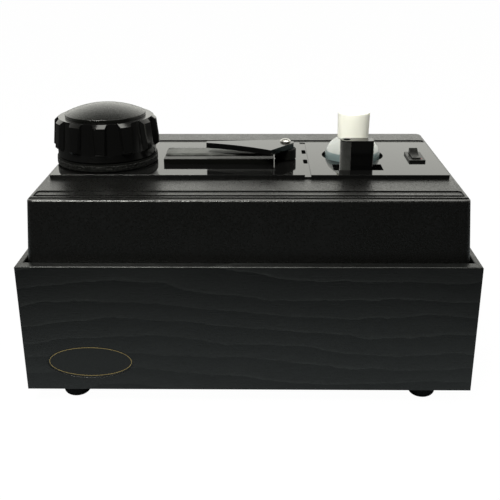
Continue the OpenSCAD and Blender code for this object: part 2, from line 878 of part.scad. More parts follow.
module roller_post() {
    color("silver") translate([post_x, post_y, 0]) difference() {
        union() {
            translate([0, 0, under_z - 8]) cylinder(r = post_r, h = arm_top + 0.1 - under_z + 8);
            translate([0, 0, deck_z]) cylinder(r = post_r + 2.5, h = collar_h);
        }
        translate([0, 0, arm_z - 4]) cylinder(r = screw_r + run, h = 20, $fn = small_fn);
    }
}

module post_nut() {
    color("gray") translate([post_x, post_y, under_z]) {
        translate([0, 0, -1]) ring(nut_r + 2, post_r + run, 1);
        translate([0, 0, -1 - nut_h]) difference() {
            cylinder(r = nut_r, h = nut_h, $fn = 6);
            translate([0, 0, -cut]) cylinder(r = post_r + run, h = nut_h + 2 * cut);
        }
    }
}

module roller_tyre() {
    color("#161616") translate([post_x, post_y, roller_z]) difference() {
        rounded_disc(roller_r, roller_h, 0.8);
        translate([0, 0, -cut]) cylinder(r = roller_bush_r, h = roller_h + 2 * cut);
    }
}

module roller_bush() {
    color("#c8c4b8") translate([post_x, post_y, roller_z]) ring(roller_bush_r, post_r + run, roller_h);
}

// The arm lies along -X from its pivot, its front edge hollowed between the tip and the knee
module swing_arm() {
    tip = [-arm_l, 2.2];
    front = [-arm_l, tip[1] - arm_tip_w];
    knee = [-arm_knee_x, -arm_knee_y];
    chord = knee - front;
    span = norm(chord);
    bow_r = pow(span, 2) / 8 / arm_bow + arm_bow / 2;
    bow_at = (front + knee) / 2 + [chord[1], -chord[0]] / span * (bow_r - arm_bow);
    color("#0c0d0e") translate([post_x, post_y, arm_z]) difference() {
        linear_extrude(arm_t) difference() {
            polygon([tip, front, knee, [7.4, -3.4], [7.7, 1.5], [-3.3, 8.5]]);
            translate(bow_at) circle(bow_r, $fn = 360);
        }
        translate([0, 0, -cut]) cylinder(r = post_r + run, h = arm_t + 2 * cut);
    }
}

module arm_washers() {
    color("silver") translate([post_x, post_y, washer_z]) ring(5.6, post_r + run, washer_t);
}

module arm_screw() {
    rim = 1;
    dome = dome_h - rim;
    ball_r = (pow(dome_r, 2) + pow(dome, 2)) / (2 * dome);
    color("#e6e6e6") translate([post_x, post_y, arm_top + 0.1]) {
        cylinder(r = dome_r, h = rim);
        translate([0, 0, rim]) intersection() {
            translate([0, 0, dome - ball_r]) sphere(ball_r);
            cylinder(r = dome_r, h = dome_h);
        }
        translate([0, 0, -4]) cylinder(r = screw_r, h = 4, $fn = small_fn);
    }
}

// Outer half section of the bottle up to its neck, grown by a margin
function shoulder_points(grow, steps) = [
    for (i = [0 : steps])
        let (r = bottle_r + grow - i * (bottle_r - bottle_neck_r) / steps)
        [r, shoulder_z + (shoulder_rise + grow) * sqrt(1 - pow(r / (bottle_r + grow), 2))]
];

module bottle_section(grow, low, top) {
    polygon(concat([[0, low], [bottle_r + grow, low]], shoulder_points(grow, 14),
        [[bottle_neck_r + grow, top], [0, top]]));
}

module bottle() {
    color("#dfe4e4") translate([bottle_x, bottle_y, 0]) rotate_extrude() difference() {
        bottle_section(0, bottle_z, neck_top_z);
        bottle_section(-bottle_t, bottle_z + 2, neck_top_z + cut);
    }
}

module bottle_fluid() {
    low = bottle_z + 2.1;
    color("#8fa6b2") translate([bottle_x, bottle_y, 0]) rotate_extrude() intersection() {
        bottle_section(-bottle_t - 0.1, low, neck_top_z);
        translate([0, low]) square([bottle_r, deck_z + fluid_up - low]);
    }
}

module bottle_spout() {
    mouth = bottle_neck_r - bottle_t - 0.1;
    color("#f2f0ea") translate([bottle_x, bottle_y, neck_top_z - 6]) difference() {
        union() {
            cylinder(r = mouth, h = 6);
            translate([0, 0, 6]) cylinder(r = bottle_neck_r, h = 1.2);
            translate([0, 0, 7]) cylinder(r1 = 4, r2 = 2.2, h = spout_up);
        }
        translate([0, 0, -cut]) cylinder(r = 1.2, h = 8 + spout_up, $fn = small_fn);
    }
}

module bottle_cap() {
    color("#f4f2e8") translate([bottle_x, bottle_y, cap_base_z]) difference() {
        cylinder(r1 = bottle_cap_r - 0.5, r2 = bottle_cap_r, h = bottle_cap_h);
        translate([0, 0, -cut]) cylinder(r = bottle_neck_r + play, h = bottle_cap_h - cap_wall + cut);
    }
}

module bottle_well() {
    low = bottle_z - 0.3 - well_t;
    color("#2f3133") translate([bottle_x, bottle_y, 0]) difference() {
        union() {
            translate([0, 0, low]) cylinder(r = well_r + well_t, h = under_z - low);
            translate([0, 0, under_z - 2]) cylinder(r = well_r + well_flange, h = 2);
        }
        translate([0, 0, low + well_t]) cylinder(r = well_r, h = under_z - low);
    }
}

// Section of the whole brush: square block on the right, half-round nose on the left
module brush_outline(grow) {
    w = brush_w - 2 * grow;
    d = brush_d - 2 * grow;
    nose = d / 2;
    corner = brush_corner - grow;
    translate([-w / 2 + nose, 0]) circle(nose);
    translate([-w / 2 + nose, -d / 2]) square([w - nose - corner, d]);
    translate([-w / 2 + nose, -d / 2 + corner]) square([w - nose, d - 2 * corner]);
    for (s = [-1, 1]) translate([w / 2 - corner, s * (d / 2 - corner)]) circle(corner, $fn = 32);
}

module at_brush(z) {
    translate([brush_cx, brush_cy, z]) children();
}

module pad_zone() {
    translate([-brush_w / 2 - cut, -brush_d / 2 - cut]) square([brush_pad_w + cut, brush_d + 2 * cut]);
}

pad_z_low = handle_z + 6;
pad_z_top = brush_top - 0.8;

module brush_handle() {
    color("#141415") difference() {
        at_brush(handle_z) linear_extrude(brush_top - handle_z) brush_outline(0);
        at_brush(pad_z_low) linear_extrude(pad_z_top - pad_z_low) intersection() {
            difference() {
                brush_outline(-cut);
                brush_outline(brush_pad_t);
            }
            pad_zone();
        }
        at_brush(brush_top - brush_hole_h) translate([-brush_w / 2 + brush_d / 2, 0, 0])
            cylinder(r = brush_hole_r, h = brush_hole_h + cut);
    }
}

module brush_pad() {
    color("#565758") at_brush(pad_z_low) linear_extrude(pad_z_top - pad_z_low) intersection() {
        difference() {
            brush_outline(0);
            brush_outline(brush_pad_t);
        }
        pad_zone();
    }
}

module brush_well() {
    low = handle_z - 0.3 - well_t;
    color("#2f3133") translate([brush_x, -brush_y, 0]) difference() {
        union() {
            translate([0, 0, low]) block(brush_slot_w + 2 * well_t, brush_slot_d + 2 * well_t, under_z - low);
            translate([0, 0, under_z - 2]) block(brush_slot_w + 8, brush_slot_d + 2 * well_t, 2);
        }
        translate([0, 0, low + well_t]) block(brush_slot_w, brush_slot_d, under_z - low);
    }
}

module switch_body() {
    lip = 0.6;
    color("#18191a") translate([switch_x, switch_y, 0]) difference() {
        union() {
            translate([0, 0, deck_z]) rounded_block(bezel_w, bezel_d, bezel_h, lip);
            translate([0, 0, deck_z - switch_body_h]) block(switch_body_w, switch_body_d, switch_body_h);
            for (y = [-6, 6]) translate([0, y, deck_z - switch_body_h - 7]) block(4.8, 0.8, 7);
        }
        translate([-rocker_shift, 0, deck_z - switch_body_h + 4])
            block(rocker_w + 2 * play, rocker_l + 2, switch_body_h + bezel_h);
        translate([-rocker_shift - rocker_w / 2 - 1.35, 0, pivot_z]) rotate([0, 90, 0])
            cylinder(r = 1 + run, h = rocker_w + 2.7, $fn = small_fn);
    }
}

// Side view of the rocker about its pivot, with a hollowed finger face
module rocker_section() {
    half = rocker_l / 2;
    dish_r = 26;
    difference() {
        union() {
            circle(5.5);
            translate([-half, 0]) square([rocker_l, rocker_tall]);
        }
        translate([0, rocker_tall + dish_r - 1.6]) circle(dish_r);
        translate([0, -10]) square([30, 9.4], center = false);
        translate([-30, -10]) square([30, 9.4], center = false);
    }
    circle(2.4, $fn = 48);
}

module switch_rocker() {
    color("#2a2c2d") translate([switch_x - rocker_shift, switch_y, pivot_z]) rotate([rocker_tilt, 0, 0]) {
        translate([-rocker_w / 2, 0, 0]) rotate([90, 0, 90]) linear_extrude(rocker_w) rocker_section();
        translate([-rocker_w / 2 - 1.2, 0, 0]) rotate([0, 90, 0]) cylinder(r = 1, h = rocker_w + 2.4, $fn = small_fn);
    }
}

module waste_tank() {
    color("#c9c6b4") translate([tank_cx, 0, tank_floor_z]) difference() {
        union() {
            rounded_block(tank_w, tank_d, tank_h, 8);
            translate([drain_x - tank_cx, drain_y, -base_t - 1.5]) cylinder(r = drain_r + 1.8, h = base_t + 2);
        }
        translate([0, 0, tank_t]) rounded_block(tank_w - 2 * tank_t, tank_d - 2 * tank_t, tank_h, 6);
        translate([drain_x - tank_cx, drain_y, -base_t - 1.5 - cut]) cylinder(r = drain_r, h = base_t + 4 + 2 * cut);
        translate([-tank_w / 2 - cut, 0, axis_z - tank_floor_z]) rotate([0, 90, 0])
            cylinder(r = inlet_r, h = tank_t + 2 * cut);
    }
}

module tank_lid() {
    neck = 10;
    color("#b9b6a6") translate([0, 0, lid_z]) difference() {
        union() {
            translate([tank_cx, 0, 0]) rounded_block(tank_w + 6, tank_d + 6, lid_t, 10);
            translate([hose_x, hose_y, 0]) cylinder(r = hose_r, h = lid_t + neck);
            translate([groove_x, drain_mid_y, 0]) cylinder(r = 8, h = lid_t + neck);
        }
        translate([hose_x, hose_y, -cut]) cylinder(r = hose_r - 2, h = lid_t + neck + 2 * cut);
        translate([groove_x, drain_mid_y, -cut]) cylinder(r = 6, h = lid_t + neck + 2 * cut);
    }
}

module drain_plug() {
    color("#1a1a1a") translate([drain_x, drain_y, base_z - 2]) {
        cylinder(r = drain_r + 1.6, h = 1.8);
        cylinder(r = drain_r - run, h = base_t + 3);
    }
}

chute_depth = 14;

module drip_chute() {
    w = groove_w + 5;
    l = drain_pitch + drain_l + 6;
    low = under_z - chute_depth;
    color("#3b3d40") translate([groove_x, drain_mid_y, 0]) difference() {
        union() {
            translate([0, 0, low]) block(w, l, under_z - low);
            translate([0, 0, lid_z + lid_t + 1]) cylinder(r = 5.4, h = low - lid_z - lid_t);
        }
        translate([0, 0, low + 1.6]) block(w - 3.2, l - 3.2, under_z - low);
        translate([0, 0, lid_z]) cylinder(r = 3.4, h = low - lid_z + 4);
    }
}

// Places children with their z axis along the motor axis, zero at the fan's inlet face
module on_axis(x) {
    translate([x, 0, axis_z]) rotate([0, 90, 0]) children();
}

module fan_case() {
    port_w = 26;
    port_l = 34;
    color("#55585a") difference() {
        union() {
            on_axis(fan_case_x) cylinder(r = fan_case_r, h = fan_case_l - case_t);
            translate([vent_x, 0, floor_z]) block(port_w, port_l, motor_up - 20);
        }
        on_axis(fan_case_x + case_t) cylinder(r = fan_case_r - case_t, h = fan_case_l);
        on_axis(fan_case_x - cut) cylinder(r = shaft_r + 1, h = case_t + 2 * cut);
        translate([vent_x, 0, floor_z - cut]) block(port_w - 4, port_l - 4, motor_up - 20);
    }
}

module fan_cover() {
    color("#55585a") difference() {
        union() {
            on_axis(-fan_face_x - case_t) cylinder(r = fan_case_r, h = case_t);
            on_axis(-fan_face_x) cylinder(r = inlet_r - run, h = spigot_l + 1 + tank_t);
        }
        on_axis(-fan_face_x - case_t - cut) cylinder(r = hose_r, h = spigot_l + 2 * case_t + 4 * cut);
    }
}

impeller_gap = 4;
hub_l = 16;

module fan_impeller() {
    color("#9ea2a5") on_axis(fan_case_x + case_t + impeller_gap) difference() {
        union() {
            cylinder(r = impeller_r, h = 2);
            cylinder(r = shaft_r + 5, h = hub_l);
            for (i = [0 : blades - 1]) rotate([0, 0, i * 360 / blades])
                translate([hose_r + 3, -1, 0]) cube([impeller_r - hose_r - 4, 2, hub_l]);
            translate([0, 0, hub_l]) ring(impeller_r, hose_r + 4, 1.6);
        }
        translate([0, 0, -cut]) cylinder(r = shaft_r, h = hub_l + 4);
    }
}

bearing_w = 8;
bearing_out_r = 13;
bell_t = 12;
can_wall = 2.5;
field_t = 11.5;
rotor_gap = 3;

module motor_can() {
    color("#6d7073") difference() {
        on_axis(can_x) cylinder(r = can_r, h = can_l);
        on_axis(can_x + bell_t) cylinder(r = can_r - can_wall, h = can_l - 2 * bell_t);
        on_axis(can_x + 2) cylinder(r = bearing_out_r, h = can_l - 4);
        on_axis(can_x + can_l / 2) cylinder(r = shaft_r + 1, h = can_l);
    }
}

module motor_bearings() {
    color("silver") for (x = [can_x + 2, can_x + can_l - 2 - bearing_w])
        on_axis(x) ring(bearing_out_r, shaft_r + run, bearing_w);
}

module motor_field() {
    color("#8c4a22") on_axis(can_x + bell_t + rotor_gap) ring(can_r - can_wall, can_r - can_wall - field_t, can_l - 2 * bell_t - 2 * rotor_gap);
}

module motor_rotor() {
    color("#a7632f") {
        on_axis(can_x + rotor_gap) cylinder(r = shaft_r, h = can_l - rotor_gap + case_t + impeller_gap + hub_l - 2);
        on_axis(can_x + bell_t + rotor_gap)
            cylinder(r = can_r - can_wall - field_t - 1, h = can_l - 2 * bell_t - 2 * rotor_gap);
    }
}

module motor_cradle() {
    w = 50;
    color("#7b7e80") difference() {
        translate([can_x + can_l / 2, 0, floor_z]) block(w, 2 * can_r - 10, motor_up - 12);
        on_axis(can_x - cut) cylinder(r = can_r, h = can_l + 2 * cut);
        for (y = [-1, 1]) translate([can_x + can_l / 2, 0, floor_z + 4]) block(w - 6, 2 * can_r, 12);
    }
}

module power_inlet() {
    pin_at = [[-7, -2], [7, -2], [0, 2.5]];
    color("#141414") at_inlet() difference() {
        union() {
            translate([0, 0, -inlet_flange_t]) rounded_block(inlet_flange_w, inlet_flange_h, inlet_flange_t, 3);
            translate([0, 0, -inlet_body_d]) block(inlet_body_w, inlet_body_h, inlet_body_d - 1);
        }
        difference() {
            translate([0, 0, -16]) block(24, 16, 16 + cut);
            for (p = pin_at) translate([p[0], p[1], -16 - cut]) block(2, 4, 15);
        }
        for (s = [-1, 1]) translate([s * inlet_screw_gap / 2, 0, -inlet_flange_t - cut])
            cylinder(r = 1.7, h = inlet_flange_t + 2 * cut, $fn = small_fn);
        for (s = [-1, 1]) translate([s * inlet_screw_gap / 2, 0, -2])
            cylinder(r1 = 1.7, r2 = 3.4, h = 2.05, $fn = small_fn);
    }
}

module inlet_screws() {
    color("silver") at_inlet() for (s = [-1, 1]) translate([s * inlet_screw_gap / 2, 0, 0]) {
        translate([0, 0, -2]) cylinder(r1 = 1.5, r2 = 3.05, h = 1.9, $fn = small_fn);
        translate([0, 0, -front_t]) cylinder(r = 1.5, h = front_t - 1.9, $fn = small_fn);
    }
}

wire_r = 2.5;
wire_side = 18;
wire_drop = 36;
wire_high = under_z - wire_drop;

// A tube of straight runs with ball corners through the given points
module wire(points) {
    for (i = [1 : len(points) - 1]) {
        step = points[i] - points[i - 1];
        flat = norm([step[0], step[1]]);
        translate(points[i - 1]) rotate([0, atan2(flat, step[2]), atan2(step[1], step[0])])
            cylinder(r = wire_r, h = norm(step), $fn = small_fn);
        if (i < len(points) - 1) translate(points[i]) sphere(wire_r + 0.7, $fn = small_fn);
    }
}

// Leads from the power inlet to the switch and from the switch to the motor
module internal_wiring() {
    inlet_back = cab_d / 2 - inlet_body_d;
    back_run = inlet_back - 8;
    front_run = -cab_d / 2 + front_t + wire_side + cleat_w;
    lead_z = deck_z - switch_body_h - 7;
    motor_x = can_x + can_l / 2;
    color("#7a2a20") {
        wire([
            [inlet_x, inlet_back, inlet_z], [inlet_x, back_run, inlet_z], [inlet_x, back_run, wire_high],
            [switch_x, back_run, wire_high], [switch_x, switch_y + 6, wire_high], [switch_x, switch_y + 6, lead_z]
        ]);
        wire([
            [switch_x, switch_y - 6, lead_z], [switch_x, switch_y - 6, wire_high - 8],
            [switch_x, front_run, wire_high - 8], [motor_x, front_run, wire_high - 8],
            [motor_x, front_run, axis_z], [motor_x, -can_r, axis_z]
        ]);
    }
}

front_panel();
back_panel();
left_panel();
right_panel();
base_board();
corner_blocks();
support_cleats();
rubber_feet();
base_screws();
oval_plate();
top_housing();
housing_brackets();
bracket_screws();
deck_plate();
platter();
platter_mat();
spindle();
spindle_clip();
spindle_bearing();
clamp_knob();
knob_cap();
clamp_pad();
knob_bush();
slot_bar();
rear_velvet_lip();
front_velvet_lip();
suction_box();
suction_hose();
roller_post();
post_nut();
roller_tyre();
roller_bush();
swing_arm();
arm_washers();
arm_screw();
bottle();
bottle_fluid();
bottle_spout();
bottle_cap();
bottle_well();
brush_handle();
brush_pad();
brush_well();
switch_body();
switch_rocker();
waste_tank();
tank_lid();
drain_plug();
drip_chute();
fan_case();
fan_cover();
fan_impeller();
motor_can();
motor_field();
motor_rotor();
motor_bearings();
motor_cradle();
power_inlet();
inlet_screws();
internal_wiring();
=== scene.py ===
import json
import math
import random

import bmesh
import bpy
from mathutils import Matrix, Vector, noise

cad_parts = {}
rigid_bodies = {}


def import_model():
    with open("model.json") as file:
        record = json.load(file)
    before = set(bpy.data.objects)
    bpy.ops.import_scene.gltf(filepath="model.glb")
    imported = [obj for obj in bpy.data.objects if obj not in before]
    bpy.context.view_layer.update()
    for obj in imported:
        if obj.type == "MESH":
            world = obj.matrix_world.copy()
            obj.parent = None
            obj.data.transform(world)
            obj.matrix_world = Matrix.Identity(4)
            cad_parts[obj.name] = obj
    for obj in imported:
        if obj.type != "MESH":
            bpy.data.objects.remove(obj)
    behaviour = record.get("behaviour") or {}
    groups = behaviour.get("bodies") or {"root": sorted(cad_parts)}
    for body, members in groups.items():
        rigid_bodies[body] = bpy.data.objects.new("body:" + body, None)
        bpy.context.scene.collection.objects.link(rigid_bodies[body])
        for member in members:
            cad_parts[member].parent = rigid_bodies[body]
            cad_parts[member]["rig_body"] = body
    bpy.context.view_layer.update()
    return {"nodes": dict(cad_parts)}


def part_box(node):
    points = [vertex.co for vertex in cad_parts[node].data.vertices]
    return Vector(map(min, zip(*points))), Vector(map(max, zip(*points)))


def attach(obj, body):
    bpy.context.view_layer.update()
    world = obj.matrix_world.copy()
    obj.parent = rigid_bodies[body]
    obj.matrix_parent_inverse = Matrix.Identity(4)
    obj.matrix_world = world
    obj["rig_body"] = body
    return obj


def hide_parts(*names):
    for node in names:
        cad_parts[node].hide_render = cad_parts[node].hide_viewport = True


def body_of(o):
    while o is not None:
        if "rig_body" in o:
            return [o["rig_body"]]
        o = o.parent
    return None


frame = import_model()
cadNodes = frame["nodes"]
print("stage: frame loaded")


# Small helpers

def newMaterial(name):
    mat = bpy.data.materials.new(name)
    mat.use_nodes = True
    nodes = mat.node_tree.nodes
    nodes.clear()
    out = nodes.new("ShaderNodeOutputMaterial")
    bsdf = nodes.new("ShaderNodeBsdfPrincipled")
    out.location, bsdf.location = (600, 0), (300, 0)
    mat.node_tree.links.new(bsdf.outputs[0], out.inputs[0])
    return mat, bsdf


def addNode(tree, kind, inputs=None, **props):
    node = tree.nodes.new(kind)
    for key, value in props.items():
        setattr(node, key, value)
    for key, value in (inputs or {}).items():
        node.inputs[key].default_value = value
    return node


def wire(tree, source, target):
    tree.links.new(source, target)


def newGroup(name, inputs, outputs):
    group = bpy.data.node_groups.new(name, "ShaderNodeTree")
    for label, kind, value in inputs:
        socket = group.interface.new_socket(name=label, in_out="INPUT", socket_type=kind)
        socket.default_value = value
    for label, kind in outputs:
        group.interface.new_socket(name=label, in_out="OUTPUT", socket_type=kind)
    return group, group.nodes.new("NodeGroupInput"), group.nodes.new("NodeGroupOutput")


def useGroup(tree, group, **values):
    node = tree.nodes.new("ShaderNodeGroup")
    node.node_tree = group
    for label, value in values.items():
        node.inputs[label].default_value = value
    return node


def bumpFrom(tree, height, bsdf, strength, distance):
    bump = addNode(tree, "ShaderNodeBump", {"Strength": strength, "Distance": distance})
    wire(tree, height, bump.inputs["Height"])
    wire(tree, bump.outputs[0], bsdf.inputs["Normal"])


def mixColour(tree, factor, low, high):
    mix = addNode(tree, "ShaderNodeMix", data_type="RGBA")
    for socket, colour in (("A", low), ("B", high)):
        if isinstance(colour, bpy.types.NodeSocket):
            wire(tree, colour, mix.inputs[socket])
        else:
            mix.inputs[socket].default_value = (*colour, 1)
    wire(tree, factor, mix.inputs["Factor"])
    return mix.outputs["Result"]


def spread(tree, value, low, high, outLow, outHigh):
    node = addNode(tree, "ShaderNodeMapRange", {
        "From Min": low, "From Max": high, "To Min": outLow, "To Max": outHigh})
    wire(tree, value, node.inputs["Value"])
    return node.outputs["Result"]


def calculate(tree, operation, first, second):
    node = addNode(tree, "ShaderNodeMath", operation=operation)
    for index, value in enumerate((first, second)):
        if isinstance(value, bpy.types.NodeSocket):
            wire(tree, value, node.inputs[index])
        else:
            node.inputs[index].default_value = value
    return node.outputs[0]


noiseBand = (0.3, 0.7)  # where most of a noise texture's values lie


def objectNoise(tree, scale, detail=3.0, stretch=(1, 1, 1), shift=(0, 0, 0), rough=0.5):
    coord = addNode(tree, "ShaderNodeTexCoord")
    place = addNode(tree, "ShaderNodeMapping", {"Scale": stretch, "Location": shift})
    wire(tree, coord.outputs["Object"], place.inputs["Vector"])
    grain = addNode(tree, "ShaderNodeTexNoise", {"Scale": scale, "Detail": detail, "Roughness": rough})
    wire(tree, place.outputs[0], grain.inputs["Vector"])
    return grain.outputs["Fac"]


def putMaterial(name, mat):
    obj = cadNodes[name]
    obj.data.materials.clear()
    obj.data.materials.append(mat)


allSmooth = 180  # degrees


def finishMesh(bm, name, mat, smoothAngle):
    mesh = bpy.data.meshes.new(name)
    bm.normal_update()
    bm.to_mesh(mesh)
    bm.free()
    obj = bpy.data.objects.new(name, mesh)
    bpy.context.collection.objects.link(obj)
    mesh.materials.append(mat)
    mesh.shade_smooth()
    if smoothAngle < allSmooth:
        mesh.set_sharp_from_angle(angle=math.radians(smoothAngle))
    return obj


def standFor(piece, name):
    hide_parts(name)
    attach(piece, body_of(cadNodes[name])[0])


def boxOf(name):
    low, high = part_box(name)
    return Vector(low), Vector(high)


def quarterTurn(steps):
    return [step / steps * math.pi / 2 for step in range(1, steps + 1)]


# Shared effects

pebbleLook = {
    "smoothness": 0.6,
    "detail": 4.0,
    "roughness": 0.6,
    "patchScale": 30.0,
    "patchReach": 0.04,
    "speckBand": (0.36, 0.64),
}


def buildPebble():
    look = pebbleLook
    group, gin, gout = newGroup(
        "pebbleGrain",
        [("Scale", "NodeSocketFloat", 900.0), ("Blend", "NodeSocketFloat", 0.4)],
        [("Height", "NodeSocketFloat"), ("Speck", "NodeSocketFloat")],
    )
    coord = addNode(group, "ShaderNodeTexCoord")
    cells = addNode(group, "ShaderNodeTexVoronoi", {"Smoothness": look["smoothness"]}, feature="SMOOTH_F1")
    wire(group, coord.outputs["Object"], cells.inputs["Vector"])
    wire(group, gin.outputs["Scale"], cells.inputs["Scale"])
    fine = addNode(group, "ShaderNodeTexNoise", {"Detail": look["detail"], "Roughness": look["roughness"]})
    wire(group, coord.outputs["Object"], fine.inputs["Vector"])
    wire(group, gin.outputs["Scale"], fine.inputs["Scale"])
    mix = addNode(group, "ShaderNodeMix", data_type="FLOAT")
    wire(group, gin.outputs["Blend"], mix.inputs["Factor"])
    wire(group, cells.outputs["Distance"], mix.inputs["A"])
    wire(group, fine.outputs["Fac"], mix.inputs["B"])
    wire(group, mix.outputs["Result"], gout.inputs["Height"])
    patch = objectNoise(group, look["patchScale"])
    patch = spread(group, patch, *noiseBand, -look["patchReach"], look["patchReach"])
    both = calculate(group, "ADD", fine.outputs["Fac"], patch)
    wire(group, spread(group, both, *look["speckBand"], 0.0, 1.0), gout.inputs["Speck"])
    return group


dustLook = {
    "speckScale": 420.0,
    "speckEdge": (0.05, 0.12),
    "clusterScale": 60.0,
    "clusterBand": (0.58, 0.66),
    "smearScale": 14.0,
}


def buildDust():
    look = dustLook
    group, gin, gout = newGroup(
        "dustAndSmears",
        [("Speck Scale", "NodeSocketFloat", look["speckScale"])],
        [("Specks", "NodeSocketFloat"), ("Smears", "NodeSocketFloat")],
    )
    coord = addNode(group, "ShaderNodeTexCoord")
    cells = addNode(group, "ShaderNodeTexVoronoi", {"Randomness": 1.0})
    wire(group, coord.outputs["Object"], cells.inputs["Vector"])
    wire(group, gin.outputs["Speck Scale"], cells.inputs["Scale"])
    dots = spread(group, cells.outputs["Distance"], *look["speckEdge"], 1.0, 0.0)
    some = spread(group, objectNoise(group, look["clusterScale"], 2.0), *look["clusterBand"], 0.0, 1.0)
    wire(group, calculate(group, "MULTIPLY", dots, some), gout.inputs["Specks"])
    wire(group, objectNoise(group, look["smearScale"], 5.0), gout.inputs["Smears"])
    return group


pebbleGroup = buildPebble()
dustGroup = buildDust()
print("stage: shared effects made")


# Moulded plastics and rubber

plasticLooks = {
    "housingPlastic": {
        "colour": 0.001, "rough": 0.31, "grain": 720.0, "speck": 1.0, "bump": 0.38, "depth": 0.0006},
    "capPlastic": {
        "colour": 0.003, "rough": 0.18, "grain": 900.0, "speck": 1.0, "bump": 0.4, "depth": 0.0006},
    "platterPlastic": {
        "colour": 0.003, "rough": 0.5, "specular": 0.18, "grain": 560.0, "speck": 1.0,
        "bump": 1.0, "depth": 0.0016},
    "mouldedBlack": {
        "colour": 0.004, "rough": 0.3, "grain": 1500.0, "bump": 0.12, "depth": 0.0003},
    "switchBlack": {
        "colour": 0.003, "rough": 0.34, "specular": 0.2, "grain": 1300.0, "bump": 0.15, "depth": 0.0003},
    "rubberBlack": {
        "colour": 0.002, "rough": 0.6, "specular": 0.12, "grain": 1200.0, "bump": 0.2, "depth": 0.0003},
    "barSatin": {
        "colour": 0.003, "rough": 0.24, "specular": 0.1, "grain": 1500.0, "bump": 0.05, "depth": 0.0003},
    "motorPaint": {
        "colour": 0.18, "rough": 0.4, "grain": 800.0, "bump": 0.15, "depth": 0.0003},
    "tankPlastic": {
        "colour": 0.55, "rough": 0.45, "grain": 300.0, "bump": 0.08, "depth": 0.0005},
    "nylonWhite": {
        "colour": 0.68, "rough": 0.4, "grain": 900.0, "bump": 0.08, "depth": 0.0003},
}
plasticShared = {
    "tint": (1.0, 1.05, 0.9),
    "blend": 0.45,
    "speck": 0.2,
    "specular": 0.5,
    "dulled": 0.12,
    "polished": 0.08,
}


def grainyPlastic(name, look):
    look = {**plasticShared, **look}
    mat, bsdf = newMaterial(name)
    tree = mat.node_tree
    grain = useGroup(tree, pebbleGroup, Scale=look["grain"], Blend=look["blend"])
    speck = look["speck"]
    base = [look["colour"] * part for part in look["tint"]]
    dark, light = [c * (1 - speck) for c in base], [c * (1 + speck) for c in base]
    wire(tree, mixColour(tree, grain.outputs["Speck"], dark, light), bsdf.inputs["Base Color"])
    dull, keen = look["rough"] + look["dulled"] * speck, look["rough"] - look["polished"] * speck
    wire(tree, spread(tree, grain.outputs["Speck"], 0.0, 1.0, dull, keen), bsdf.inputs["Roughness"])
    bsdf.inputs["Specular IOR Level"].default_value = look["specular"]
    bumpFrom(tree, grain.outputs["Height"], bsdf, look["bump"], look["depth"])
    return mat


plastics = {name: grainyPlastic(name, look) for name, look in plasticLooks.items()}


# Glossy black acrylic

glossLooks = {
    "deckAcrylic": {"colour": 0.003, "rough": 0.035, "dust": 0.02},
    "knobGloss": {"colour": 0.0025, "rough": 0.1, "dust": 0.01},
    "armAcrylic": {"colour": 0.0025, "rough": 0.04, "dust": 0.02},
    "brushGloss": {"colour": 0.001, "rough": 0.09, "dust": 0.01},
}
glossShared = {"smearBand": (0.35, 0.75), "smearDull": 0.04, "ior": 1.49}


def glossBlack(name, look):
    mat, bsdf = newMaterial(name)
    tree = mat.node_tree
    dust = useGroup(tree, dustGroup)
    base = look["colour"]
    shade = mixColour(tree, dust.outputs["Specks"], [base] * 3, [base + look["dust"]] * 3)
    wire(tree, shade, bsdf.inputs["Base Color"])
    clean, smeared = look["rough"], look["rough"] + glossShared["smearDull"]
    rough = spread(tree, dust.outputs["Smears"], *glossShared["smearBand"], clean, smeared)
    wire(tree, rough, bsdf.inputs["Roughness"])
    bsdf.inputs["IOR"].default_value = glossShared["ior"]
    return mat


glosses = {name: glossBlack(name, look) for name, look in glossLooks.items()}


# Black-stained ash, its growth rings running along each panel

woodLook = {
    "dark": (0.0005, 0.0007, 0.0007),
    "light": (0.0046, 0.005, 0.005),
    "line": (0.011, 0.012, 0.0118),
    "rough": 0.36,
    "duller": 0.1,
    "keener": 0.06,
    "specular": 0.38,
    "rings": 62.0,  # rings per metre of height
    "ringStretch": 0.38,
    "wander": 2.2,  # how many rings a boundary wanders
    "wanderScale": 8.0,
    "ripple": 0.55,
    "rippleScale": 34.0,
    "swingBand": (0.25, 0.75),
    "lineWidth": 0.14,  # share of a ring
    "lineScale": 12.0,
    "lineBand": (0.35, 0.65),
    "lineStrength": 0.9,
    "fibre": 0.45,
    "fibreStretch": 0.05,
    "fibreScale": 1500.0,
    "speckleStretch": (0.4, 0.4, 1.0),
    "speckleScale": 1100.0,
    "grainBand": (0.38, 0.62),
    "seedShift": (1.7, 0.9, 2.3),
    "bump": 0.35,
    "depth": 0.0004,
}


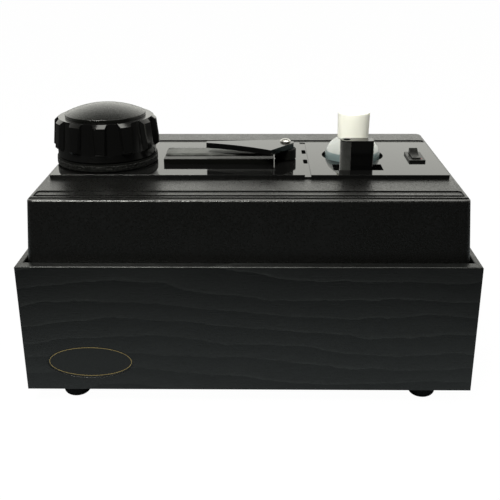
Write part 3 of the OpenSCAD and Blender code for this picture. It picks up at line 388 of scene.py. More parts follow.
def ashWood(name, along, seed):
    look = woodLook
    mat, bsdf = newMaterial(name)
    tree = mat.node_tree
    slow = (look["ringStretch"], 1.0, 1.0) if along == "X" else (1.0, look["ringStretch"], 1.0)
    fine = (look["fibreStretch"], 1.0, 1.0) if along == "X" else (1.0, look["fibreStretch"], 1.0)
    shift = [seed * part for part in look["seedShift"]]
    coord = addNode(tree, "ShaderNodeTexCoord")
    split = addNode(tree, "ShaderNodeSeparateXYZ")
    wire(tree, coord.outputs["Object"], split.inputs[0])
    climb = calculate(tree, "MULTIPLY", split.outputs["Z"], look["rings"])
    wander = objectNoise(tree, look["wanderScale"], 1.0, slow, shift, 0.4)
    wander = spread(tree, wander, *look["swingBand"], 0.0, look["wander"])
    ripple = objectNoise(tree, look["rippleScale"], 4.0, slow, shift, 0.6)
    ripple = spread(tree, ripple, *look["swingBand"], 0.0, look["ripple"])
    height = calculate(tree, "ADD", calculate(tree, "ADD", climb, wander), ripple)
    ring = calculate(tree, "FRACT", height, 0.0)
    tone = mixColour(tree, ring, look["light"], look["dark"])
    edge = spread(tree, ring, 0.0, look["lineWidth"], 1.0, 0.0)
    strength = objectNoise(tree, look["lineScale"], 2.0, slow, shift)
    strength = spread(tree, strength, *look["lineBand"], 0.0, look["lineStrength"])
    tone = mixColour(tree, calculate(tree, "MULTIPLY", edge, strength), tone, look["line"])
    fibres = objectNoise(tree, look["fibreScale"], 3.0, fine, shift, 0.7)
    speckle = objectNoise(tree, look["speckleScale"], 2.0, look["speckleStretch"], shift, 0.6)
    halves = [calculate(tree, "MULTIPLY", part, 0.5) for part in (fibres, speckle)]
    grain = calculate(tree, "ADD", *halves)
    depth = spread(tree, grain, *look["grainBand"], 1.0 - look["fibre"], 1.0 + look["fibre"])
    scale = addNode(tree, "ShaderNodeVectorMath", operation="SCALE")
    wire(tree, tone, scale.inputs[0])
    wire(tree, depth, scale.inputs["Scale"])
    wire(tree, scale.outputs[0], bsdf.inputs["Base Color"])
    dull, keen = look["rough"] + look["duller"], look["rough"] - look["keener"]
    wire(tree, spread(tree, grain, *look["grainBand"], dull, keen), bsdf.inputs["Roughness"])
    bsdf.inputs["Specular IOR Level"].default_value = look["specular"]
    bumpFrom(tree, fibres, bsdf, look["bump"], look["depth"])
    return mat


woods = {
    "frontAsh": ashWood("frontAsh", "X", 0.0),
    "backAsh": ashWood("backAsh", "X", 3.0),
    "leftAsh": ashWood("leftAsh", "Y", 5.0),
    "rightAsh": ashWood("rightAsh", "Y", 8.0),
}


# Metals

metalLooks = {
    "zincSteel": {"colour": (0.55, 0.56, 0.57), "rough": 0.35, "scale": 900.0},
    "polishedNickel": {"colour": (0.6, 0.59, 0.56), "rough": 0.24, "scale": 400.0},
    "goldFoil": {"colour": (0.5, 0.36, 0.15), "rough": 0.35, "scale": 1200.0},
    "sinteredBronze": {"colour": (0.42, 0.3, 0.12), "rough": 0.45, "scale": 1400.0},
    "copperWire": {"colour": (0.45, 0.16, 0.06), "rough": 0.35, "scale": 1400.0},
    "castAlloy": {"colour": (0.5, 0.51, 0.52), "rough": 0.4, "scale": 1000.0},
}
metalShared = {"darker": 0.85, "duller": 0.1}


def metal(name, look):
    mat, bsdf = newMaterial(name)
    tree = mat.node_tree
    bsdf.inputs["Metallic"].default_value = 1.0
    grain = objectNoise(tree, look["scale"], 4.0)
    base = look["colour"]
    dark = [c * metalShared["darker"] for c in base]
    wire(tree, mixColour(tree, grain, dark, base), bsdf.inputs["Base Color"])
    keen, dull = look["rough"], look["rough"] + metalShared["duller"]
    wire(tree, spread(tree, grain, *noiseBand, keen, dull), bsdf.inputs["Roughness"])
    return mat


metals = {name: metal(name, look) for name, look in metalLooks.items()}


# Raw timber and fibre board inside and under the cabinet

timberLook = {"stretch": (1.0, 1.0, 0.08), "band": (0.35, 0.65), "rough": 0.7, "bump": 0.3, "depth": 0.0005}


def rawTimber(name, light, dark, scale):
    look = timberLook
    mat, bsdf = newMaterial(name)
    tree = mat.node_tree
    grain = objectNoise(tree, scale, 6.0, look["stretch"])
    share = spread(tree, grain, *look["band"], 0.0, 1.0)
    wire(tree, mixColour(tree, share, light, dark), bsdf.inputs["Base Color"])
    bsdf.inputs["Roughness"].default_value = look["rough"]
    bumpFrom(tree, grain, bsdf, look["bump"], look["depth"])
    return mat


timber = rawTimber("rawTimber", (0.36, 0.25, 0.14), (0.22, 0.14, 0.07), 160.0)
fibreBoard = rawTimber("fibreBoard", (0.05, 0.045, 0.038), (0.03, 0.026, 0.022), 900.0)


# Velvet pile

velvetLook = {
    "dark": (0.025, 0.026, 0.024),
    "light": (0.1, 0.103, 0.098),
    "pile": 1500.0,
    "patch": 90.0,
    "band": (0.12, 0.4),
    "rough": 0.95,
    "specular": 0.2,
    "sheen": 0.28,
    "sheenRough": 0.5,
    "bump": 0.8,
    "depth": 0.0006,
}


def velvetPile(name, darken):
    look = velvetLook
    mat, bsdf = newMaterial(name)
    tree = mat.node_tree
    pile = objectNoise(tree, look["pile"], 5.0, rough=0.75)
    patch = objectNoise(tree, look["patch"], 3.0)
    share = spread(tree, calculate(tree, "MULTIPLY", pile, patch), *look["band"], 0.0, 1.0)
    dark = [c * darken for c in look["dark"]]
    light = [c * darken for c in look["light"]]
    wire(tree, mixColour(tree, share, dark, light), bsdf.inputs["Base Color"])
    bsdf.inputs["Roughness"].default_value = look["rough"]
    bsdf.inputs["Specular IOR Level"].default_value = look["specular"]
    bsdf.inputs["Sheen Weight"].default_value = look["sheen"]
    bsdf.inputs["Sheen Roughness"].default_value = look["sheenRough"]
    bumpFrom(tree, pile, bsdf, look["bump"], look["depth"])
    return mat


velvet = velvetPile("velvetPile", 1.0)
brushVelvet = velvetPile("brushVelvet", 0.3)


# Milky bottle plastics; below the fluid's level the wall shows the fluid's blue-grey

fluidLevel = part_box("bottle_fluid")[1][2]
milkyLook = {
    "cloud": 70.0,
    "cloudDark": 0.94,
    "waterline": 0.0004,
    "spread": (0.006, 0.006, 0.005),
    "ior": 1.5,
}


def milkyPlastic(name, colour, rough, glow, wet=None):
    mat, bsdf = newMaterial(name)
    tree = mat.node_tree
    look = milkyLook
    cloud = objectNoise(tree, look["cloud"], 3.0)
    shade = mixColour(tree, cloud, [c * look["cloudDark"] for c in colour], colour)
    if wet:
        coord = addNode(tree, "ShaderNodeTexCoord")
        split = addNode(tree, "ShaderNodeSeparateXYZ")
        wire(tree, coord.outputs["Object"], split.inputs[0])
        below, above = fluidLevel - look["waterline"], fluidLevel + look["waterline"]
        under = spread(tree, split.outputs["Z"], below, above, 1.0, 0.0)
        shade = mixColour(tree, under, shade, wet)
    wire(tree, shade, bsdf.inputs["Base Color"])
    bsdf.inputs["Roughness"].default_value = rough
    bsdf.inputs["Subsurface Weight"].default_value = glow
    bsdf.inputs["Subsurface Radius"].default_value = look["spread"]
    bsdf.inputs["Subsurface Scale"].default_value = 1.0
    bsdf.inputs["IOR"].default_value = look["ior"]
    return mat


frosted = milkyPlastic("frostedCap", (0.98, 0.97, 0.86), 0.4, 0.25)
bottleWall = milkyPlastic("bottleWall", (0.35, 0.363, 0.355), 0.16, 0.3, (0.145, 0.19, 0.197))
fluidBlue = milkyPlastic("fluidBlue", (0.2, 0.27, 0.31), 0.1, 0.4)


# The bare oval plate, the switch's dot and the inner wires

speckledSpecular = 0.35


def speckled(name, low, high, scale, rough):
    mat, bsdf = newMaterial(name)
    tree = mat.node_tree
    wire(tree, mixColour(tree, objectNoise(tree, scale), low, high), bsdf.inputs["Base Color"])
    bsdf.inputs["Roughness"].default_value = rough
    bsdf.inputs["Specular IOR Level"].default_value = speckledSpecular
    return mat


plateBlack = speckled("plateBlack", (0.002, 0.0022, 0.0022), (0.004, 0.0043, 0.0042), 700.0, 0.34)
dotRed = speckled("dotRed", (0.12, 0.012, 0.01), (0.17, 0.02, 0.015), 2500.0, 0.4)
wireRed = speckled("wireCover", (0.25, 0.03, 0.02), (0.32, 0.05, 0.03), 300.0, 0.3)

nodeLooks = {
    "front_panel": woods["frontAsh"], "back_panel": woods["backAsh"],
    "left_panel": woods["leftAsh"], "right_panel": woods["rightAsh"],
    "base_board": fibreBoard, "corner_blocks": timber, "support_cleats": timber,
    "rubber_feet": plastics["rubberBlack"], "base_screws": metals["zincSteel"],
    "oval_plate": plateBlack, "top_housing": plastics["housingPlastic"],
    "housing_brackets": metals["zincSteel"], "bracket_screws": metals["zincSteel"],
    "deck_plate": glosses["deckAcrylic"], "platter": plastics["platterPlastic"],
    "platter_mat": plastics["rubberBlack"], "spindle": metals["zincSteel"],
    "spindle_clip": metals["zincSteel"], "spindle_bearing": metals["sinteredBronze"],
    "clamp_knob": glosses["knobGloss"], "knob_cap": plastics["capPlastic"],
    "clamp_pad": plastics["rubberBlack"], "knob_bush": metals["sinteredBronze"],
    "slot_bar": plastics["barSatin"], "rear_velvet_lip": velvet, "front_velvet_lip": velvet,
    "suction_box": plastics["mouldedBlack"], "suction_hose": plastics["rubberBlack"],
    "roller_post": metals["zincSteel"], "post_nut": metals["zincSteel"],
    "roller_tyre": plastics["rubberBlack"], "roller_bush": plastics["nylonWhite"],
    "swing_arm": glosses["armAcrylic"], "arm_washers": metals["zincSteel"],
    "arm_screw": metals["polishedNickel"], "bottle": bottleWall, "bottle_fluid": fluidBlue,
    "bottle_spout": plastics["nylonWhite"], "bottle_cap": frosted, "bottle_well": plastics["mouldedBlack"],
    "brush_handle": glosses["brushGloss"], "brush_pad": brushVelvet, "brush_well": plastics["mouldedBlack"],
    "switch_body": plastics["switchBlack"], "switch_rocker": plastics["switchBlack"],
    "waste_tank": plastics["tankPlastic"], "tank_lid": plastics["tankPlastic"],
    "drain_plug": plastics["rubberBlack"], "drip_chute": plastics["mouldedBlack"],
    "fan_case": plastics["motorPaint"], "fan_cover": plastics["motorPaint"],
    "fan_impeller": metals["castAlloy"], "motor_can": plastics["motorPaint"],
    "motor_field": metals["copperWire"], "motor_rotor": metals["zincSteel"],
    "motor_bearings": metals["zincSteel"], "motor_cradle": plastics["motorPaint"],
    "power_inlet": plastics["mouldedBlack"], "inlet_screws": metals["zincSteel"],
    "internal_wiring": wireRed,
}
for name, mat in nodeLooks.items():
    putMaterial(name, mat)
print("stage: materials on", len(nodeLooks), "nodes")


# Rigid pieces whose hard edges get a small radius that catches the light

edgeWidths = {
    "front_panel": 0.0002, "back_panel": 0.0002, "left_panel": 0.0002, "right_panel": 0.0002,
    "deck_plate": 0.0003, "clamp_knob": 0.0004, "top_housing": 0.0005, "knob_cap": 0.0003,
    "slot_bar": 0.0003, "swing_arm": 0.0004, "brush_handle": 0.0003, "switch_body": 0.0004,
    "switch_rocker": 0.0006, "power_inlet": 0.0003, "base_board": 0.0004, "roller_tyre": 0.0002,
}
edgeShape = {
    "merge": 1e-6,
    "flatAngle": 0.4,  # degrees
    "hardAngle": 28,
    "segments": 2,
    "sliver": 2e-6,
    "smoothAngle": 40,
}


def softenedCopy(name, width):
    shape = edgeShape
    bm = bmesh.new()
    bm.from_mesh(cadNodes[name].data)
    bmesh.ops.remove_doubles(bm, verts=bm.verts, dist=shape["merge"])
    flat, steep = math.radians(shape["flatAngle"]), math.radians(shape["hardAngle"])
    bmesh.ops.dissolve_limit(bm, angle_limit=flat, verts=bm.verts, edges=bm.edges)
    hard = [edge for edge in bm.edges if len(edge.link_faces) == 2 and edge.calc_face_angle(0) > steep]
    bmesh.ops.bevel(
        bm, geom=hard, offset=width, offset_type="OFFSET", affect="EDGES",
        segments=shape["segments"], profile=0.5, material=-1, clamp_overlap=True)
    bmesh.ops.dissolve_degenerate(bm, dist=shape["sliver"], edges=bm.edges)
    piece = finishMesh(bm, name + "Softened", nodeLooks[name], shape["smoothAngle"])
    even = piece.modifiers.new("evenNormals", "WEIGHTED_NORMAL")
    even.keep_sharp = True
    even.mode = "FACE_AREA_WITH_ANGLE"
    standFor(piece, name)


for name, width in edgeWidths.items():
    softenedCopy(name, width)
print("stage: edges softened on", len(edgeWidths), "pieces")


# Velvet lips beside the suction slot

velvetShape = {
    "cell": 0.0004,
    "fewestRows": 6,
    "roundOff": 0.0009,
    "waver": 0.00025,
    "waverScale": 900,
    "pileUp": 0.00018,
    "tuftScale": 2600,
    "wideScale": 240,
    "wideShift": 9,
    "atSide": 1e-6,
    "strandLength": 0.0009,
    "strandRadius": 0.00004,
    "strandRoot": 0.0003,
    "strandStart": 0.0006,
    "strandEvery": 0.00035,
    "strandSpacing": 0.00034475,
    "rootBand": (0.3, 0.9),  # share of the lip's height
    "leanAlong": (-0.7, 0.7),
    "leanUp": (-0.4, 0.5),
    "reachBand": (0.35, 1.0),
}


def addStrand(bm, root, tip, radius):
    along = tip - root
    lean = along.to_track_quat("Z", "Y").to_matrix().to_4x4()
    bmesh.ops.create_cone(
        bm, cap_ends=True, segments=3, radius1=radius, radius2=0.0, depth=along.length,
        matrix=Matrix.Translation((root + tip) / 2) @ lean)


def velvetLip(name, seed):
    low, high = boxOf(name)
    size, centre = high - low, (low + high) / 2
    shape = velvetShape
    columns, rows = round(size.x / shape["cell"]), max(shape["fewestRows"], round(size.y / shape["cell"]))
    roundOff = min(shape["roundOff"], size.y / 2)
    wideSeed = seed + shape["wideShift"]
    crown = size.z - shape["pileUp"]
    bm = bmesh.new()
    bmesh.ops.create_grid(
        bm, x_segments=columns, y_segments=rows, size=0.5,
        matrix=Matrix.Translation((centre.x, centre.y, low.z)) @ Matrix.Diagonal((size.x, size.y, 1, 1)))
    for vert in bm.verts:
        x, y, z = vert.co
        inward = min(x - low.x, high.x - x, y - low.y, high.y - y)
        fold = 1 - min(max(inward, 0.0) / roundOff, 1)
        tuft = noise.noise(Vector((x * shape["tuftScale"], y * shape["tuftScale"], seed)))
        wide = noise.noise(Vector((x * shape["wideScale"], y * shape["wideScale"], wideSeed)))
        vert.co.z = low.z + crown * math.sqrt(1 - fold * fold)
        vert.co.z += (tuft + wide + 1) * 0.5 * shape["pileUp"] * (1 - fold)
        if abs(abs(y - centre.y) - size.y / 2) < shape["atSide"]:
            inside = 1 if y < centre.y else -1
            sway = noise.noise(Vector((x * shape["waverScale"], inside, seed)))
            vert.co.y += shape["waver"] * inside * sway
    rim = [edge for edge in bm.edges if edge.is_boundary]
    underside = bmesh.ops.holes_fill(bm, edges=rim, sides=0)["faces"]
    bmesh.ops.poke(bm, faces=underside)
    bmesh.ops.recalc_face_normals(bm, faces=bm.faces)
    draw = random.Random(seed)
    for y, outward in ((low.y, -1), (high.y, 1)):
        for index in range(int(size.x / shape["strandEvery"])):
            x = low.x + shape["strandStart"] + index * shape["strandSpacing"]
            root = Vector((x, y, low.z + draw.uniform(*shape["rootBand"]) * size.z))
            lean = Vector((draw.uniform(*shape["leanAlong"]), outward, draw.uniform(*shape["leanUp"])))
            lean.normalize()
            reach = shape["strandLength"] * draw.uniform(*shape["reachBand"])
            addStrand(bm, root - lean * shape["strandRoot"], root + lean * reach, shape["strandRadius"])
    piece = finishMesh(bm, name + "Pile", velvet, allSmooth)
    standFor(piece, name)


velvetLip("rear_velvet_lip", 3)
velvetLip("front_velvet_lip", 4)
print("stage: velvet lips")


# Velvet wrapped round the brush's nose, as one closed skin with a raw upright edge

brushPile = {
    "cell": 0.0005,
    "cellHeight": 0.0007,
    "wall": 0.0018,
    "pileUp": 0.0003,
    "tuftScale": 2200,
    "rimDrop": 0.0009,
    "rimEase": 3,  # the second row drops this much less
    "atEnd": 1e-4,
    "fray": 0.0005,
    "frayScale": 700,
    "strands": 240,
    "strandLength": 0.0011,
    "strandRadius": 0.00005,
    "strandRoot": 0.0003,
    "strandBand": (0.0002, 0.0012),
    "leanAcross": (-0.5, 0.1),
    "leanUp": (-0.5, 0.5),
    "reachBand": (0.4, 1.0),
    "bias": 0.4,  # the noise value that leaves the pile's surface where it is
}


def wrapOutline(low, high):
    nose = (high.y - low.y) / 2
    centre = Vector((low.x + nose, (low.y + high.y) / 2))
    straight = high.x - centre.x
    total = 2 * straight + math.pi * nose

    def at(share):
        walked = share * total
        if walked < straight:
            return Vector((high.x - walked, low.y)), Vector((0, -1))
        if walked > total - straight:
            return Vector((high.x - (total - walked), high.y)), Vector((0, 1))
        turn = (walked - straight) / nose
        out = Vector((-math.sin(turn), -math.cos(turn)))
        return centre + out * nose, out

    return at, total


def brushSkin(name, seed):
    low, high = boxOf(name)
    shape = brushPile
    tall = high.z - low.z
    at, total = wrapOutline(low, high)
    columns, rows = round(total / shape["cell"]), round(tall / shape["cellHeight"])
    bm = bmesh.new()
    bmesh.ops.create_grid(bm, x_segments=columns, y_segments=rows, size=0.5)
    for vert in bm.verts:
        along, up = 0.5 - vert.co.x, vert.co.y + 0.5
        spot, out = at(along)
        z = low.z + tall * up
        sides = (along * columns, (1 - along) * columns, up * rows, (1 - up) * rows)
        rim = min(round(side) for side in sides)
        scale = shape["tuftScale"]
        tuft = noise.noise(Vector((spot.x * scale, spot.y * scale, z * scale + seed)))
        push = (tuft - shape["bias"]) * shape["pileUp"]
        if rim < 2:
            push = -shape["rimDrop"] if rim == 0 else -shape["rimDrop"] / shape["rimEase"]
        spot = spot + out * push
        if min(along, 1 - along) < shape["atEnd"]:
            ragged = noise.noise(Vector((z * shape["frayScale"], round(along) * columns, seed)))
            spot.x += shape["fray"] * (ragged - shape["bias"])
        vert.co = (spot.x, spot.y, z)
    bm.normal_update()
    bmesh.ops.solidify(bm, geom=bm.faces[:], thickness=shape["wall"])
    bmesh.ops.recalc_face_normals(bm, faces=bm.faces)
    if bm.calc_volume(signed=True) < 0:
        bmesh.ops.reverse_faces(bm, faces=bm.faces)
    draw = random.Random(seed)
    for index in range(shape["strands"]):
        z = draw.uniform(low.z, high.z)
        root = Vector((high.x - shape["strandRoot"], low.y + draw.uniform(*shape["strandBand"]), z))
        lean = Vector((1.0, draw.uniform(*shape["leanAcross"]), draw.uniform(*shape["leanUp"])))
        lean.normalize()
        reach = shape["strandLength"] * draw.uniform(*shape["reachBand"])
        addStrand(bm, root, root + lean * reach, shape["strandRadius"])
    piece = finishMesh(bm, name + "Pile", brushVelvet, allSmooth)
    standFor(piece, name)


brushSkin("brush_pad", 11)
print("stage: brush velvet")


# Turned bottle and cap

turnedLook = {"steps": 72, "merge": 1e-7, "smoothAngle": 35}


def turnedPiece(name, node, profile):
    low, high = boxOf(node)
    axis = (low + high) / 2
    bm = bmesh.new()
    verts = [bm.verts.new((axis.x + radius, axis.y, z)) for radius, z in profile]
    edges = [bm.edges.new(pair) for pair in zip(verts, verts[1:])]
    bmesh.ops.spin(
        bm, geom=verts + edges, cent=(axis.x, axis.y, 0), axis=(0, 0, 1),
        angle=math.tau, steps=turnedLook["steps"], use_merge=True, use_duplicate=False)
    bmesh.ops.remove_doubles(bm, verts=bm.verts, dist=turnedLook["merge"])
    bmesh.ops.recalc_face_normals(bm, faces=bm.faces)
    piece = finishMesh(bm, name, nodeLooks[node], turnedLook["smoothAngle"])
    standFor(piece, node)


bottleShape = {
    "rise": 0.018,
    "shoulderUp": 0.0015,  # the shoulder starts this far above the deck
    "wall": 0.0012,
    "neck": 0.0126,
    "lip": 0.0005,
    "lipInset": 0.0004,
    "heel": 0.004,
    "dish": 0.0008,
    "heelInside": 0.003,
    "heelSteps": 8,
    "sideSteps": 8,
    "shoulderSteps": 32,
}


def bottleProfile():
    low, high = boxOf("bottle")
    radius = (high.x - low.x) / 2
    shape = bottleShape
    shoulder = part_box("deck_plate")[1][2] + shape["shoulderUp"]
    neck, heel, wall, dished = shape["neck"], shape["heel"], shape["wall"], low.z + shape["dish"]
    profile = [(0.0, dished), (radius * 0.5, dished), (radius - heel, low.z)]
    for turn in quarterTurn(shape["heelSteps"]):
        profile.append((radius - heel * (1 - math.sin(turn)), low.z + heel * (1 - math.cos(turn))))
    sides, steps = shape["sideSteps"], shape["shoulderSteps"]
    profile += [(radius, low.z + (shoulder - low.z) * step / sides) for step in range(1, sides + 1)]
    last = math.acos(neck / radius)
    for step in range(1, steps + 1):
        turn = last * step / steps
        profile.append((radius * math.cos(turn), shoulder + shape["rise"] * math.sin(turn)))
    profile += [(neck, high.z - shape["lip"]), (neck - shape["lipInset"], high.z)]
    bore, girth = neck - wall, radius - wall
    profile.append((bore, high.z))
    last = math.acos(bore / girth)
    for step in range(steps, -1, -1):
        turn = last * step / steps
        profile.append((girth * math.cos(turn), shoulder + (shape["rise"] - wall) * math.sin(turn)))
    profile += [(girth, low.z + heel), (girth - shape["heelInside"], low.z + wall), (0.0, dished + wall)]
    return profile


capShape = {
    "edge": 0.0012,
    "edgeSteps": 6,
    "bore": 0.0129,
    "taper": 0.0005,
    "footCut": (0.0003, 0.0004),
    "roof": 0.0025,
    "dish": (0.0002, 0.0003),
}


def capProfile():
    low, high = boxOf("bottle_cap")
    shape = capShape
    top = (high.x - low.x) / 2
    foot, edge, bore = top - shape["taper"], shape["edge"], shape["bore"]
    cutIn, cutUp = shape["footCut"]
    dishEdge, dishMiddle = shape["dish"]
    profile = [(bore, low.z), (foot - cutIn, low.z), (foot, low.z + cutUp), (top, high.z - edge)]
    for turn in quarterTurn(shape["edgeSteps"]):
        profile.append((top - edge * (1 - math.cos(turn)), high.z - edge * (1 - math.sin(turn))))
    profile += [(top * 0.5, high.z - dishEdge), (0.0, high.z - dishMiddle)]
    profile += [(0.0, high.z - shape["roof"]), (bore, high.z - shape["roof"]), (bore, low.z)]
    return profile


turnedPiece("bottleShell", "bottle", bottleProfile())
turnedPiece("bottleCapShell", "bottle_cap", capProfile())
print("stage: bottle and cap turned")


# Thin plain border on the bare oval plate

borderLook = {"inset": 0.0014, "width": 0.0004, "proud": 0.00012, "steps": 96, "smoothAngle": 60}


def ovalBorder():
    low, high = boxOf("oval_plate")
    centre, half = (low + high) / 2, (high - low) / 2
    look = borderLook
    bm = bmesh.new()
    bmesh.ops.create_circle(bm, cap_ends=True, radius=1.0, segments=look["steps"])
    upright = Matrix.Rotation(math.pi / 2, 4, "X")
    oval = Matrix.Diagonal((half.x - look["inset"], half.z - look["inset"], 1, 1))
    bmesh.ops.transform(
        bm, verts=bm.verts, matrix=Matrix.Translation((centre.x, low.y, centre.z)) @ upright @ oval)
    inner = bm.faces[:]
    bmesh.ops.inset_region(
        bm, faces=inner, thickness=look["width"], use_boundary=True, use_even_offset=True)
    bmesh.ops.delete(bm, geom=inner, context="FACES_ONLY")
    grown = bmesh.ops.extrude_face_region(bm, geom=bm.faces[:])["geom"]
    raised = [item for item in grown if isinstance(item, bmesh.types.BMVert)]
    bmesh.ops.translate(bm, verts=raised, vec=(0, -look["proud"], 0))
    bmesh.ops.recalc_face_normals(bm, faces=bm.faces)
    piece = finishMesh(bm, "ovalPlateBorder", metals["goldFoil"], look["smoothAngle"])
    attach(piece, "cabinet")


ovalBorder()


# Red dot printed on the switch's bezel

dotPlace = {
    "x": 0.1553,
    "y": -0.0077,
    "bezel": 0.002,  # the bezel's top above the deck
    "radius": 0.0008,
    "topRadius": 0.00068,
    "height": 0.0001,
    "steps": 24,
    "smoothAngle": 30,
}


def bezelDot():
    place = dotPlace
    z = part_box("deck_plate")[1][2] + place["bezel"] + place["height"] / 2
    bm = bmesh.new()
    bmesh.ops.create_cone(
        bm, cap_ends=True, segments=place["steps"], radius1=place["radius"], radius2=place["topRadius"],
        depth=place["height"], matrix=Matrix.Translation((place["x"], place["y"], z)))
    piece = finishMesh(bm, "bezelDot", dotRed, place["smoothAngle"])
    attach(piece, "cabinet")


bezelDot()
print("stage: border and dot")


# Stage, lights and camera

stageLook = {
    "floorSize": 14.0,
    "floorSeen": 0.985,  # share of plain white that the camera sees on the floor
    "floorPaintedLight": (0.29, 0.325, 0.35),  # painted pool of light: the floor's colour close by, which only the light sent back to the object sees
    "floorStretch": (0.55, 1.0, 1.0),  # the painted pool of light is wider than it is deep
    "floorFade": (0.2, 0.44, 0.03),  # its inner and outer radius, and the share of the painted light left beyond it
    "floorRough": 0.9,
    "frontSky": 0.04,
    "backSky": 1.35,
    "topSky": 0.08,
    "skyTurn": (-0.45, 0.55),  # from front to back
    "skyRise": (0.45, 0.9),
    "skyTint": (1.0, 1.0, 0.93),
}
plainWhite = (1, 1, 1, 1)


def paleFloor():
    mat, bsdf = newMaterial("paleFloor")
    tree = mat.node_tree
    inner, outer, left = stageLook["floorFade"]
    spot = addNode(tree, "ShaderNodeTexCoord")
    wide = addNode(tree, "ShaderNodeVectorMath", operation="MULTIPLY")
    wide.inputs[1].default_value = stageLook["floorStretch"]
    wire(tree, spot.outputs["Object"], wide.inputs[0])
    reach = addNode(tree, "ShaderNodeVectorMath", operation="LENGTH")
    wire(tree, wide.outputs[0], reach.inputs[0])
    fade = addNode(tree, "ShaderNodeMapRange", {
        "From Min": inner, "From Max": outer}, interpolation_type="SMOOTHSTEP")
    wire(tree, reach.outputs["Value"], fade.inputs["Value"])
    near = stageLook["floorPaintedLight"]
    # painted pool of light: for rays other than the camera's, the floor's colour is light near the object
    # and fades to a small share farther out
    wire(tree, mixColour(tree, fade.outputs[0], near, [c * left for c in near]), bsdf.inputs["Base Color"])
    bsdf.inputs["Roughness"].default_value = stageLook["floorRough"]
    seen = addNode(tree, "ShaderNodeEmission", {"Color": plainWhite, "Strength": 1.0})
    shade = addNode(tree, "ShaderNodeBsdfDiffuse", {"Color": plainWhite})
    seenMix = addNode(tree, "ShaderNodeMixShader", {0: stageLook["floorSeen"]})
    wire(tree, shade.outputs[0], seenMix.inputs[1])
    wire(tree, seen.outputs[0], seenMix.inputs[2])
    path = addNode(tree, "ShaderNodeLightPath")
    rayMix = addNode(tree, "ShaderNodeMixShader")
    wire(tree, path.outputs["Is Camera Ray"], rayMix.inputs[0])
    wire(tree, bsdf.outputs[0], rayMix.inputs[1])
    wire(tree, seenMix.outputs[0], rayMix.inputs[2])
    side = addNode(tree, "ShaderNodeNewGeometry")
    clear = addNode(tree, "ShaderNodeBsdfTransparent")
    sideMix = addNode(tree, "ShaderNodeMixShader")  # from below, the floor is looked through
    wire(tree, side.outputs["Backfacing"], sideMix.inputs[0])
    wire(tree, rayMix.outputs[0], sideMix.inputs[1])
    wire(tree, clear.outputs[0], sideMix.inputs[2])
    wire(tree, sideMix.outputs[0], tree.nodes["Material Output"].inputs[0])
    return mat


bm = bmesh.new()
bmesh.ops.create_grid(bm, x_segments=1, y_segments=1, size=stageLook["floorSize"])
floor = finishMesh(bm, "floor", paleFloor(), allSmooth)


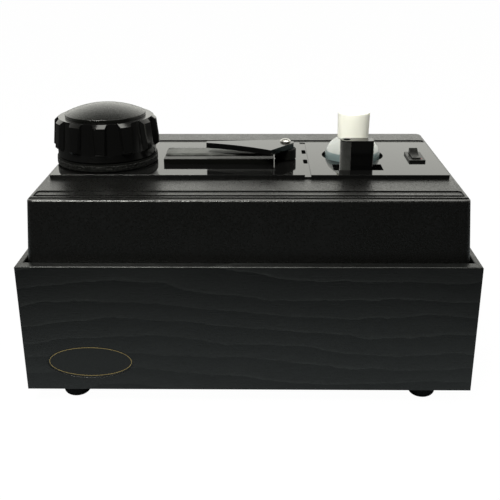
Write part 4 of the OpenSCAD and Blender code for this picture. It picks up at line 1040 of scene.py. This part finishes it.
def studioSky():
    world = bpy.data.worlds.new("studio")
    bpy.context.scene.world = world
    world.use_nodes = True
    tree = world.node_tree
    sky = tree.nodes["Background"]
    coord = addNode(tree, "ShaderNodeTexCoord")
    split = addNode(tree, "ShaderNodeSeparateXYZ")
    wire(tree, coord.outputs["Generated"], split.inputs[0])
    front, back = stageLook["skyTurn"]
    around = addNode(tree, "ShaderNodeMapRange", {
        "From Min": front, "From Max": back,
        "To Min": stageLook["frontSky"], "To Max": stageLook["backSky"]}, interpolation_type="SMOOTHSTEP")
    wire(tree, split.outputs["Y"], around.inputs["Value"])
    start, full = stageLook["skyRise"]
    overhead = addNode(tree, "ShaderNodeMapRange", {"From Min": start, "From Max": full})
    wire(tree, split.outputs["Z"], overhead.inputs["Value"])
    skyMix = addNode(tree, "ShaderNodeMix", {"B": stageLook["topSky"]}, data_type="FLOAT")
    wire(tree, overhead.outputs[0], skyMix.inputs["Factor"])
    wire(tree, around.outputs[0], skyMix.inputs["A"])
    wire(tree, skyMix.outputs["Result"], sky.inputs["Strength"])
    sky.inputs["Color"].default_value = (*stageLook["skyTint"], 1)
    plain = addNode(tree, "ShaderNodeBackground", {"Color": plainWhite, "Strength": 1.0})
    path = addNode(tree, "ShaderNodeLightPath")
    seen = addNode(tree, "ShaderNodeMixShader")
    wire(tree, path.outputs["Is Camera Ray"], seen.inputs[0])
    wire(tree, sky.outputs[0], seen.inputs[1])
    wire(tree, plain.outputs[0], seen.inputs[2])
    wire(tree, seen.outputs[0], tree.nodes["World Output"].inputs[0])


studioSky()

lamps = {
    "topLamp": {"place": (0.45, -0.2, 1.9), "target": (0.45, -0.2, 0.0), "size": (1.8, 0.8), "power": 24.0},
    "keyLamp": {"place": (-0.5, -1.1, 1.6), "target": (0.05, 0.0, 0.2), "size": (0.5, 0.5), "power": 48.0},
}


def softLight(name, lamp):
    light = bpy.data.lights.new(name, "AREA")
    light.shape = "RECTANGLE"
    light.size, light.size_y = lamp["size"]
    light.energy = lamp["power"]
    light.color = stageLook["skyTint"]
    obj = bpy.data.objects.new(name, light)
    obj.location = lamp["place"]
    aim = Vector(lamp["target"]) - Vector(lamp["place"])
    obj.rotation_euler = aim.to_track_quat("-Z", "Y").to_euler()
    bpy.context.collection.objects.link(obj)


for name, lamp in lamps.items():
    softLight(name, lamp)
bpy.context.scene.view_settings.view_transform = "Standard"

view = {
    "place": (0.0109864, -0.7245129, 0.3766701),
    "lens": 58.49,
    "sensor": 36,
    "shift": -0.0004,
    "yaw": -0.0152307,
    "pitch": 0.3735965,
    "roll": -0.0036899,
}


def placeCamera():
    yawCos, yawSin = math.cos(view["yaw"]), math.sin(view["yaw"])
    pitchCos, pitchSin = math.cos(view["pitch"]), math.sin(view["pitch"])
    rollCos, rollSin = math.cos(view["roll"]), math.sin(view["roll"])
    ahead = Vector((yawSin * pitchCos, yawCos * pitchCos, -pitchSin))
    level = Vector((yawCos, -yawSin, 0))
    upright = level.cross(ahead)
    right, up = level * rollCos + upright * rollSin, upright * rollCos - level * rollSin
    data = bpy.data.cameras.new("camera")
    data.lens, data.sensor_width, data.shift_x = view["lens"], view["sensor"], view["shift"]
    camera = bpy.data.objects.new("camera", data)
    turn = Matrix((right, up, -ahead)).transposed().to_4x4()
    camera.matrix_world = Matrix.Translation(view["place"]) @ turn
    bpy.context.collection.objects.link(camera)
    bpy.context.scene.camera = camera


placeCamera()
print("stage: floor, sky, lights and camera placed")
